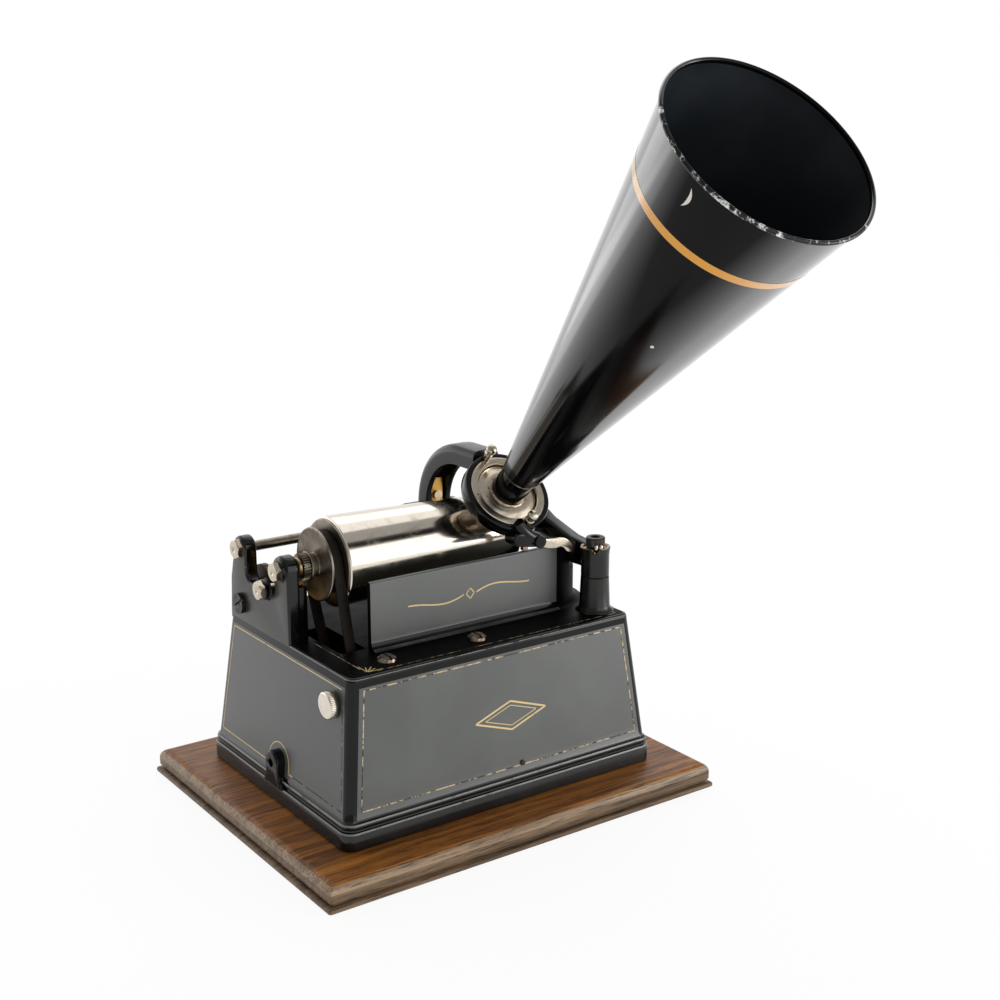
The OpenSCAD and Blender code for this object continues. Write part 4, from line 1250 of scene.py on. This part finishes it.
@dataclass
class Reproducer:
    """The sound box in the carrier's eye: the ring, the domed plate and the neck that takes the horn.

    A row of a profile is a radius and a height over the face. Each pit is a radius on the face, an angle in
    degrees, a height and the pit's own radius. Each screw's place is on the face.
    """

    ring_profile: Rows = (
        (17.0, -3.9), (17.0, -0.5), (17.3, -0.1), (17.8, 0), (20.4, 0), (20.9, -0.15), (21.2, -0.6),
        (21.2, -6), (18.9, -6.1), (18.9, -10.6), (18.5, -11), (14, -11), (13.8, -7), (0, -7),
    )
    plate_rim: Rows = ((16.9, -3.9), (16.8, -2.6))
    dome_radii: Pair = (16.4, 10.4)
    dome_low: float = -2.0
    dome_rise: float = 1.3
    collar_profile: Rows = ((10.5, -0.75), (10.1, -0.2), (9.3, 0.1))
    neck_profile: Rows = ((9.5, 0.0), (9.4, 0.6), (9.4, 29.6), (9.0, 30), (8.4, 30), (7.8, 2), (5, -1.6))
    ring_pits: Rows = ((19.0, 177.6, 0.06, 0.5), (19.6, 5.0, 0.06, 0.6))
    plate_pits: Rows = ((13.3, -177.0, -1.1, 0.5), (11.2, 160.0, -0.6, 0.5))
    screw_places: Rows = ((-3.3, 21.9), (1.8, -20.6))
    screw_profile: Rows = (
        (2.1, -5.0), (2.1, 0.0), (2.5, 0.2), (2.5, 3.2), (2.1, 3.6), (1.9, 5.2), (2.6, 5.7), (2.9, 6.2),
        (2.9, 7.4), (2.6, 8.3), (1.7, 9.0), (0.0, 9.3),
    )

    def on_face(self, x: float, y: float, height: float) -> Axes:
        """Give the frame of the face moved to a place on it."""
        middle = tuple(FACE.place(np.array((x, y, height))).tolist())
        return Axes(middle, FACE.across, FACE.up, FACE.along)

    def pit(self, reach: float, angle: float, height: float, radius: float) -> Patch:
        """Paint a pin hole as shade: a small dark disc that lies just over the face."""
        x, y = reach * math.cos(math.radians(angle)), reach * math.sin(math.radians(angle))
        return lathe(rows((radius, 0.0), (0.0, 0.02)), self.on_face(x, y, height), 20, finish=1)

    def build(self) -> None:
        """Turn the screws, the ring, and the plate with its collar and neck."""
        screw = rows(*self.screw_profile)
        screws = [lathe(screw, self.on_face(x, y, 0.0), 32) for x, y in self.screw_places]
        make_piece("ring_screws", screws, [Finishes.NICKEL], "carrier", ["eye_screws"])
        ring = [lathe(self.ring_profile, FACE, 144), *(self.pit(*place) for place in self.ring_pits)]
        make_piece("sound_box_ring", ring, [Finishes.NICKEL, Finishes.PIT], "carrier", ["reproducer_body"])
        rise = self.dome_low + self.dome_rise * np.sin(np.linspace(0, 1.5, 12))
        dome = np.column_stack((np.linspace(*self.dome_radii, 12), rise))
        plate = [
            lathe(np.concatenate((rows(*self.plate_rim), dome)), FACE, 128),
            lathe(self.neck_profile, FACE, 96, finish=2),
            lathe(self.collar_profile, FACE, 96, finish=3),
            *(self.pit(*place) for place in self.plate_pits),
        ]
        finishes = [Finishes.NICKEL, Finishes.PIT, Finishes.GLOSS, Finishes.COPPER]
        make_piece("sound_box_plate", plate, finishes, "carrier", ["face_plate"])


@dataclass
class Horn:
    """The straight tin horn: a cone with a wired rim and a painted gold band.

    Each chip is a distance from the sound box, an angle round the horn, a length, a width and a bow aside.
    """

    start: float = 17.0
    stop: float = 255.0
    bore: float = 9.5
    lower: float = 10.3
    throat: float = 10.6
    throat_up: float = 1.2
    mouth: float = 50.0
    wall: float = 0.7
    wall_end: float = 1.6
    wire: float = 1.05
    wire_in: float = 0.4
    paint: float = 0.07
    chip_lift: float = 0.08
    neck_depth: float = 13.0
    band_at: float = 221.5
    band_width: float = 4.2
    worn_rim: Pair = (150.0, 300.0)
    turns: int = 192
    chips: Rows = ((243.5, -163.4, 10.5, 1.7, 1.6), (162.5, -126.5, 2.2, 1.8, 0.3))

    def radius_at(self, along: Array) -> Array:
        """Give the outer radius of the cone at a distance from the sound box."""
        cone = self.stop - self.start - self.throat_up
        return self.throat + (along - self.start - self.throat_up) * (self.mouth - self.throat) / cone

    def build(self) -> None:
        """Turn the wall, the rim bead, the inside and the band, and lay the chips."""
        rise = np.linspace(self.start + self.throat_up, self.stop - self.wall_end, 40)
        outside = np.column_stack((self.radius_at(rise), rise))
        lower = rows((self.bore, self.start), (self.lower, self.start), (self.throat, self.start + 0.3))
        fall = rise[::-1][:-4]
        inside = np.column_stack((self.radius_at(fall) - self.wall, fall))
        inside = inside[inside[:, 0] > self.bore]
        socket = rows((self.bore, self.start + self.neck_depth), (self.bore, self.start))
        bead = arc(self.mouth, self.stop - self.wire_in, self.wire, -120, 170, 18)
        turn = np.arange(self.turns) * 360 / self.turns
        near = np.where((turn > self.worn_rim[0]) & (turn < self.worn_rim[1]), 2, 0)
        patches = [
            lathe(np.concatenate((lower, outside)), FACE, self.turns),
            lathe(np.concatenate((outside[-1:], bead, inside[:1])), FACE, self.turns, finish=near),
            lathe(np.concatenate((inside, socket)), FACE, self.turns, finish=1),
        ]
        finishes = [Finishes.HORN, Finishes.HORN_INSIDE, Finishes.HORN_RIM]
        make_piece("tin_horn", patches, finishes, "horn_body", ["horn"], crease=50)
        ring = np.linspace(self.band_at - self.band_width / 2, self.band_at + self.band_width / 2, 5)
        band = np.column_stack((self.radius_at(ring) + self.paint, ring))
        make_piece("horn_band", [lathe(band, FACE, self.turns)], [Finishes.GOLD_BAND], "horn_body")
        chips = [self.chip(*place) for place in self.chips]
        make_piece("horn_chips", chips, [Finishes.TIN], "horn_body", sheet=True)

    def chip(self, along: float, angle: float, length: float, width: float, bow: float) -> Patch:
        """Bare a chip of tin: a lens-shaped patch on the cone, bent along its length.

        Args:
            along: distance of its middle from the sound box.
            angle: its place round the horn in degrees.
            length: its length along the horn.
            width: its greatest width.
            bow: how far its middle bends aside.
        Returns:
            The patch, just over the enamel.
        """
        t = np.linspace(-1.0, 1.0, 13)[:, None]
        side = np.linspace(-1.0, 1.0, 5)[None]
        spread = width / 2 * (1 - t**2) * side + bow * (1 - t**2)
        reach = along + t * length / 2 + 0 * side
        radius = self.radius_at(reach) + self.chip_lift
        turn = math.radians(angle) + spread / radius
        return Patch(FACE.place(polar(radius, turn, reach)))


@dataclass
class Gate:
    """The end gate: a hub on the post, an arm to the mandrel's centre and a ring-headed spindle.

    A row of a profile is a radius and a height, and a row of the arm is a place in depth and a height.
    """

    hub_profile: Rows = (
        (3.3, 116.8), (7.2, 116.8), (7.6, 117.2), (7.6, 128.0), (7.7, 129.4), (8.0, 131.9), (8.1, 132.6),
        (7.8, 133), (6.6, 133), (6.2, 132.7), (6.2, 132.2), (3.3, 132.2),
    )
    side_rows: int = 7
    notch_at: float = -125.0
    notch_half: float = 17.0
    notch_depth: float = 2.6
    notch_z: float = 131.2
    notch_rise: float = 1.4
    arm_lower: Rows = ((POST[1], 120.0), (-30, 119.5), (-18, 121.5), (-6, 125.4))
    arm_upper: Rows = ((-8, 140.0), (-28.9, 134.6), (POST[1], 133.0))
    arm_boss: float = 9.0
    arm_x: Pair = (72.3, 79.7)
    arm_rim: float = 1.6
    stud_profile: Rows = ((1.0, 132.6), (1.0, 134.2), (0.8, 134.7), (0.4, 134.95), (0, 135))
    stud_places: Rows = ((71.9, -52.8), (74.2, -54.0))
    head_profile: Rows = (
        (0, 133.1), (4.9, 133.1), (5.2, 133.4), (5.2, 137.6), (4.8, 138.1), (2.9, 138.1), (2.4, 137.7),
        (2.4, 135.6), (0, 135.6),
    )
    stem_profile: Rows = ((0, 101), (3.2, 101), (3.2, 133.2), (0, 133.2))

    def hub(self) -> list[Patch]:
        """Turn the hub, and cut its notch by lowering the rim where the angle nears the notch.

        Returns:
            The side and the top.
        """
        points = lathe(self.hub_profile, post_axes(*POST), 144).points
        angle = np.degrees(np.arctan2(points[..., 1] - POST[1], points[..., 0] - POST[0]))
        near = np.clip(1 - np.abs((angle - self.notch_at + 180) % 360 - 180) / self.notch_half, 0, 1)
        high = np.clip((points[..., 2] - self.notch_z) / self.notch_rise, 0, 1)
        points[..., 2] -= self.notch_depth * near * high
        split = self.side_rows
        return [Patch(points[:split], wrap=True), Patch(points[split - 1 :], wrap=True, finish=1)]

    def build(self) -> None:
        """Make the gate casting and its spindle."""
        boss = arc(MANDREL_Y, MANDREL_Z, self.arm_boss, -105, 120, 28)
        outline = np.concatenate((rows(*self.arm_lower), boss, rows(*self.arm_upper)))
        stud = rows(*self.stud_profile)
        patches = [
            *self.hub(),
            slab(outline, *self.arm_x, self.arm_rim, shaft_axes(0, 0), finish=3),
            *(lathe(stud, post_axes(x, y), 20, finish=2) for x, y in self.stud_places),
        ]
        finishes = [Finishes.SATIN, Finishes.COPPER, Finishes.NICKEL, Finishes.GLOSS]
        make_piece("gate_casting", patches, finishes, "gate_body", ["gate"])
        axes = post_axes(*POST)
        pin = [lathe(self.head_profile, axes, 64), lathe(self.stem_profile, axes, 32)]
        make_piece("gate_pin", pin, [Finishes.DARK_STEEL], "base", ["gate_spindle"])


@dataclass
class Fittings:
    """Hex heads, the speed knob and the small turned pieces on the outside.

    A row of a profile is a radius and a place along the axis. A hex head is its root, its face, its size
    across the flats and its turn in degrees.
    """

    rod_heads: Rows = ((-86.5, -89.6, 9.6, 8), (86.5, 89.6, 9.6, 20))
    pivot_head: tuple[float, ...] = (-88.7, -91.5, 9.2, 12)
    pivot_stem: Rows = ((0, -86.6), (2, -86.6), (2, -75.4), (0, -75.2))
    idler_head: tuple[float, ...] = (-89.6, -92.2, 9.2, 0)
    idler_stem: Rows = ((0, -88), (2.5, -88), (2.5, -71.5), (4, -71.4), (4, -70.6), (0, -70.5))
    dimple: Pair = (1.7, 0.9)
    knob_profile: Rows = (
        (0, -84), (2.5, -84), (2.5, -89.3), (6.3, -89.3), (6.9, -89.7), (7, -90.1), (7, -92.6), (6.8, -93),
        (6.2, -93.4), (5.6, -93.5), (0, -93.5),
    )
    knurl_ridges: int = 48
    knurl_depth: float = 0.026
    knurl_from: float = 6.5
    dome_profile: Rows = ((1.5, 70.0), (1.5, 71.3), (1.2, 71.7), (0.6, 71.9), (0, 72.0))
    dome_place: Pair = (10.2, 33.0)

    def hex_head(self, axes: Axes, root: float, face: float, flats: float, turn: float) -> Patch:
        """Shape a hex head: a hexagon's radius on the sides, the circle inside it at the face and a dimple.

        Args:
            axes: the frame of its axis.
            root: where the head meets the casting.
            face: where its face lies.
            flats: size across the flats.
            turn: angle of the hexagon in degrees.
        Returns:
            The surface.
        """
        angle = np.linspace(0, 2 * np.pi, 144, endpoint=False)
        wedge = (np.degrees(angle) - turn + 30) % 60 - 30
        hexagon = flats / 2 / np.cos(np.radians(wedge))
        tall = abs(face - root)
        sign = math.copysign(1.0, face - root)
        wide = 2 * flats
        below = rows((tall, 0), (tall, wide), (1, wide), (0.5, flats * 0.545), (0.1, flats * 0.505))
        sunk = rows((0, flats * 0.475), (0, self.dimple[0]), (0.5, self.dimple[1]), (0.7, 0))
        depth, limit = np.concatenate((below, sunk)).T[..., None]
        radius = np.minimum(hexagon[None], limit)
        return Patch(axes.place(polar(radius, angle, root + sign * (tall - depth))), wrap=True)

    def knob(self) -> Patch:
        """Turn the speed knob and knurl its side with small ridges, coarser than the real ones to show.

        Returns:
            The knob, whose radius shrinks by a cosine of the angle on its side.
        """
        patch = lathe(self.knob_profile, shaft_axes(*KNOB), 240)
        spoke = patch.points[..., 1:] - KNOB
        angle = np.arctan2(spoke[..., 1], spoke[..., 0])
        side = np.linalg.norm(spoke, axis=-1) > self.knurl_from
        ridge = 1 - self.knurl_depth * (0.5 + 0.5 * np.cos(self.knurl_ridges * angle)) * side
        patch.points[..., 1:] = KNOB + spoke * ridge[..., None]
        return patch

    def build(self) -> None:
        """Make the heads, the knob and the small screw in the front wall."""
        rod, pivot = shaft_axes(ROD_Y, ROD_Z), shaft_axes(MANDREL_Y, MANDREL_Z)
        idler = shaft_axes(IDLER_Y, IDLER_Z)
        nuts = [self.hex_head(rod, *head) for head in self.rod_heads]
        make_piece("rod_end_nuts", nuts, [Finishes.NICKEL], "base", ["rod_nuts"], crease=25)
        screw = [self.hex_head(pivot, *self.pivot_head), lathe(self.pivot_stem, pivot, 24)]
        make_piece("pivot_screw", screw, [Finishes.NICKEL], "base", ["mandrel_pivot"], crease=25)
        stud = [self.hex_head(idler, *self.idler_head), lathe(self.idler_stem, idler, 32)]
        make_piece("idler_screw", stud, [Finishes.NICKEL], "base", ["idler_stud"], crease=25)
        make_piece("knurled_knob", [self.knob()], [Finishes.MANDREL], "knob_body", ["speed_knob"], crease=40)
        dome = lathe(self.dome_profile, front_axes(*self.dome_place), 24)
        make_piece("wall_screw", [dome], [Finishes.DARK_STEEL], "base")


def dense(corners: Array, steps: int) -> Array:
    """Put evenly spaced points on each side of a line of corners.

    Args:
        corners: the corners as rows.
        steps: points on a side, with both its ends.
    Returns:
        The points without the last corner.
    """
    return np.concatenate([np.linspace(a, b, steps)[:-1] for a, b in zip(corners[:-1], corners[1:])])


@dataclass
class Lines:
    """The gold lines on the walls, the bed and the plate, and a plain ornament in two places.

    A corner on the left wall is a depth and a height, on the front wall a place along it and a height. The
    bed's frame is its left, right, near and far side. A ray of the fan is an angle in degrees and a length.
    """

    case: Case
    width: float = 0.6
    bed_width: float = 0.42
    fan_width: float = 0.5
    bend: float = 1.2
    left_start: Rows = ((-57, 91), (58, 91), (64.6, 31.5))
    left_end: Rows = ((-15, 31.5), (-64.6, 31.5), (-58, 88))
    crown_z: float = 34.0
    crown_radius: float = 10.8
    front_frame: Rows = ((-79.5, 91), (79.5, 91), (86, 32), (-86, 32), (-79.5, 91))
    bed_frame: tuple[float, float, float, float] = (-75.0, 80.0, -60.0, 58.0)
    bed_gap: float = 6.0
    bed_left_end: float = -8.0
    fan_in: float = 1.0
    fan: Rows = ((0, 9.0), (22, 6.5), (45, 7.5), (68, 6.5), (90, 9.0))
    panel: Rows = ((-17, 59.5), (5, 52), (27, 59.5), (5, 67), (-17, 59.5))
    panel_width: float = 0.9
    inner: Rows = ((-11, 59.5), (5, 54.2), (21, 59.5), (5, 64.8), (-11, 59.5))
    inner_width: float = 0.4
    plate_y: float = -34.5
    wave_middle: Pair = (3.0, 116.5)
    wave_start: float = 4.0
    wave_length: float = 34.0
    wave_height: float = 4.5
    wave_width: float = 0.8
    bud: Rows = ((0.5, 116.5), (3, 113.6), (5.5, 116.5), (3, 119.4), (0.5, 116.5))

    def on_wall(self, points: Array, side: int) -> tuple[Array, Array]:
        """Lay points on a sloping wall: half the case's size outwards at each point's height.

        Args:
            points: places along the wall and heights.
            side: 0 for the left wall, 1 for the front wall.
        Returns:
            The points in space and the wall's outward direction.
        """
        foot, bed = (self.case.outer(z)[side] for z in (self.case.foot_z, BED))
        normal = np.zeros(3)
        normal[[side, 2]] = -1.0, (foot - bed) / 2 / (BED - self.case.foot_z)
        return np.insert(points, side, -self.case.outer(points[:, 1])[side] / 2, axis=1), unit(normal)

    def on_plate(self, points: Array) -> tuple[Array, Array]:
        """Lay (x, z) points on the front plate and give its outward direction with them."""
        return np.column_stack((points[:, 0], np.full(len(points), self.plate_y), points[:, 1])), -BACK

    def on_bed(self, points: Array) -> tuple[Array, Array]:
        """Lay (x, y) points on the bed and give the upward direction with them."""
        return raised(points, BED), np.array((0.0, 0.0, 1.0))

    def wall_lines(self) -> list[Patch]:
        """Draw the left wall's frame, which arches over the lug, and the front wall's rubbed frame.

        Returns:
            The kept and the faded length at the left, and the front frame.
        """
        crown = arc(0, self.crown_z, self.crown_radius, -14, 194, 24)
        kept = np.concatenate((rows(*self.left_start), crown, rows(self.left_end[0])))
        faded = dense(soften(rows(*self.left_end), self.bend, steps=4), 12)
        corners = rows(*self.front_frame)
        front = np.concatenate((dense(corners, 30), corners[-1:]))
        return [
            pin_line(*self.on_wall(soften(kept, self.bend, steps=4), 0), self.width),
            pin_line(*self.on_wall(faded, 0), self.width, finish=2),
            pin_line(*self.on_wall(front, 1), self.width, finish=1),
        ]

    def bed_lines(self) -> list[Patch]:
        """Draw the frame of the bed and the fan at its front left corner.

        Returns:
            Three sides of the frame and the rays of the fan.
        """
        left, right, near, far = self.bed_frame
        starts = rows((left + self.bed_gap, near), (left, near + self.bed_gap), (right, near))
        stops = rows((right, near), (left, self.bed_left_end), (right, far))
        sides = [np.linspace(start, stop, 20) for start, stop in zip(starts, stops)]
        made = [pin_line(*self.on_bed(line), self.bed_width, finish=1) for line in sides]
        for angle, reach in self.fan:
            ray = np.array((math.cos(math.radians(angle)), math.sin(math.radians(angle))))
            line = np.array((left, near)) + self.fan_in + np.linspace(0.5, reach, 6)[:, None] * ray
            made.append(pin_line(*self.on_bed(line), self.fan_width))
        return made

    def ornament(self) -> list[Patch]:
        """Draw a plain lozenge panel on the front wall, and two tapering curves with a bud on the plate.

        Returns:
            The lines of both ornaments.
        """
        made = []
        for line, width in ((self.panel, self.panel_width), (self.inner, self.inner_width)):
            panel = soften(rows(*line), 0.5, steps=3)
            made.append(pin_line(*self.on_wall(panel, 1), width))
        t = np.linspace(0, 1, 40)
        x, z = self.wave_middle
        for sign in (-1.0, 1.0):
            across = x + sign * (self.wave_start + self.wave_length * t)
            wave = np.column_stack((across, z + sign * self.wave_height * np.sin(np.pi * t) * (1 - t)))
            made.append(pin_line(*self.on_plate(wave), self.wave_width))
        return made + [pin_line(*self.on_plate(soften(rows(*self.bud), 0.4, steps=3)), self.width)]

    def build(self) -> None:
        """Lay all the lines in one piece."""
        patches = [*self.wall_lines(), *self.bed_lines(), *self.ornament()]
        finishes = [Finishes.GOLD, Finishes.GOLD_WORN, Finishes.GOLD_FADED]
        make_piece("gold_lines", patches, finishes, "base", sheet=True)


@dataclass(frozen=True)
class Lamp:
    """A soft rectangular lamp: where it hangs and its width and height in metres, and its power in watts."""

    name: str
    place: Place
    size: Pair
    power: float


@dataclass
class Studio:
    """The plain floor, the soft light and the camera at the photograph's angle.

    The camera's place and aim are in millimetres, the rest of the room is in metres.
    """

    camera_place: Place = (-428.81, -666.07, 365.80)
    camera_aim: Place = (30.89, -22.05, 159.58)
    lens: float = 55.69
    sensor: float = 36.0
    clip: Pair = (0.05, 50.0)
    room: float = 6.0
    back_y: float = 3.0
    floor: Finish = Finish("pale paper floor", "#585858", 0.0, 0.9, 0.2, 0.9)
    backdrop: Finish = Finish("white paper backdrop", "#202020", 0.0, 0.9, 0.0, 1.0)
    room_light: float = 0.42
    lamp_aim: Place = (0.02, -0.03, 0.12)
    lamps: tuple[Lamp, ...] = (
        Lamp("window", (1.0, -2.0, 0.8), (4.2, 1.6), 28.0),
        Lamp("overhead", (0.9, 0.9, 1.7), (1.8, 1.8), 8.5),
        Lamp("back left", (-0.95, 2.45, 0.6), (2.6, 1.3), 7.0),
        Lamp("low strip behind", (-0.36, 1.15, 0.13), (0.75, 0.26), 0.3),
        Lamp("low right", (1.3, -1.1, 0.24), (0.8, 0.5), 6.5),
    )

    def sheet(self, name: str, corners: Array, finish: Finish) -> None:
        """Hang or lay one flat sheet of paper.

        Args:
            name: the sheet's name.
            corners: its four corners in metres.
            finish: its finish.
        """
        mesh = bpy.data.meshes.new(name)
        mesh.from_pydata(corners.tolist(), [], [(0, 1, 2, 3)])
        mesh.materials.append(finish.material())
        made = bpy.data.objects.new(name, mesh)
        bpy.context.scene.collection.objects.link(made)

    def paper(self) -> None:
        """Lay the pale floor, which keeps a faint shadow, and hang a white backdrop behind it."""
        far, back = self.room, self.back_y
        floor = rows((-far, -far, 0), (far, -far, 0), (far, far, 0), (-far, far, 0))
        self.sheet("floor", floor, self.floor)
        wall = rows((-far, back, 0), (far, back, 0), (far, back, far), (-far, back, far))
        self.sheet("backdrop", wall, self.backdrop)

    def world(self) -> None:
        """Fill the room with even grey, so that metal shows a darker ceiling, and show it as white."""
        world = bpy.data.worlds.new("studio")
        world.use_nodes = True
        tree = world.node_tree
        shade = tree.nodes["Background"]
        shade.inputs["Color"].default_value = WHITE
        seen = add(tree, "ShaderNodeLightPath").outputs["Is Camera Ray"]
        level = add(tree, "ShaderNodeMapRange", {"Value": seen, "To Min": self.room_light, "To Max": 1.0})
        tree.links.new(level.outputs["Result"], shade.inputs["Strength"])
        bpy.context.scene.world = world

    def hang(self, name: str, data: bpy.types.ID, place: Vector, aim: Vector) -> bpy.types.Object:
        """Put a lamp or a camera in the room and turn it to what it looks at.

        Args:
            name: the object's name.
            data: the lamp or camera.
            place: where it stands, in metres.
            aim: the point that it looks at, in metres.
        Returns:
            The object.
        """
        made = bpy.data.objects.new(name, data)
        made.location = place
        made.rotation_euler = (aim - place).to_track_quat("-Z", "Y").to_euler()
        bpy.context.scene.collection.objects.link(made)
        return made

    def light(self) -> None:
        """Hang the lamps."""
        for lamp in self.lamps:
            data = bpy.data.lights.new(lamp.name, "AREA")
            data.shape = "RECTANGLE"
            data.size, data.size_y = lamp.size
            data.energy = lamp.power
            self.hang(lamp.name, data, Vector(lamp.place), Vector(self.lamp_aim))

    def camera(self) -> None:
        """Set the camera where the photograph was taken from."""
        data = bpy.data.cameras.new("camera")
        data.lens, data.sensor_width = self.lens, self.sensor
        data.clip_start, data.clip_end = self.clip
        place, aim = Vector(self.camera_place) * MM, Vector(self.camera_aim) * MM
        bpy.context.scene.camera = self.hang("camera", data, place, aim)

    def build(self) -> None:
        """Set up the floor, the light, the camera and the view transform."""
        self.paper()
        self.world()
        self.light()
        self.camera()
        bpy.context.scene.view_settings.view_transform = "Standard"


PLAIN_NODES = {
    Finishes.STEEL: (
        "back_rod", "guide_sleeve", "feed_gear", "feed_pivots", "idler_bush", "mandrel_pinion",
        "float_weight", "stylus", "mainspring", "winding_arbor", "second_arbor", "second_pinion",
        "drive_arbor", "drive_pinion", "drive_pulley", "governor_spindle", "governor_pinion", "board_screws",
    ),
    Finishes.DARK_STEEL: ("clamp_screw",),
    Finishes.BRONZE: ("bed_screws",),
    Finishes.BRASS: (
        "idler_gear", "nut_spring", "half_nut", "brake_spring", "spring_barrel", "great_wheel",
        "second_wheel", "governor_wheel", "governor_collars", "governor_springs", "key_bush",
    ),
    Finishes.NICKEL: ("nut_screw", "gate_centre"),
    Finishes.IRON: ("motor_frame",),
    Finishes.MICA: ("diaphragm",),
}


def dress_plain_nodes() -> None:
    """Give each CAD node that is shown as it is the finish of its kind."""
    for finish, names in PLAIN_NODES.items():
        for name in names:
            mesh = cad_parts[name].data
            mesh.materials.clear()
            mesh.materials.append(finish.value.material())


def main() -> None:
    """Build every sub-assembly, dress the rest and set up the studio."""
    logging.basicConfig(level=logging.INFO, format="%(message)s")
    case = Case()
    for part in (Board(), case, Train(), Carriage(), Reproducer(), Horn(), Gate(), Fittings(), Lines(case)):
        LOG.info("building %s", type(part).__name__)
        part.build()
    dress_plain_nodes()
    Studio().build()


if __name__ == "__main__":
    main()
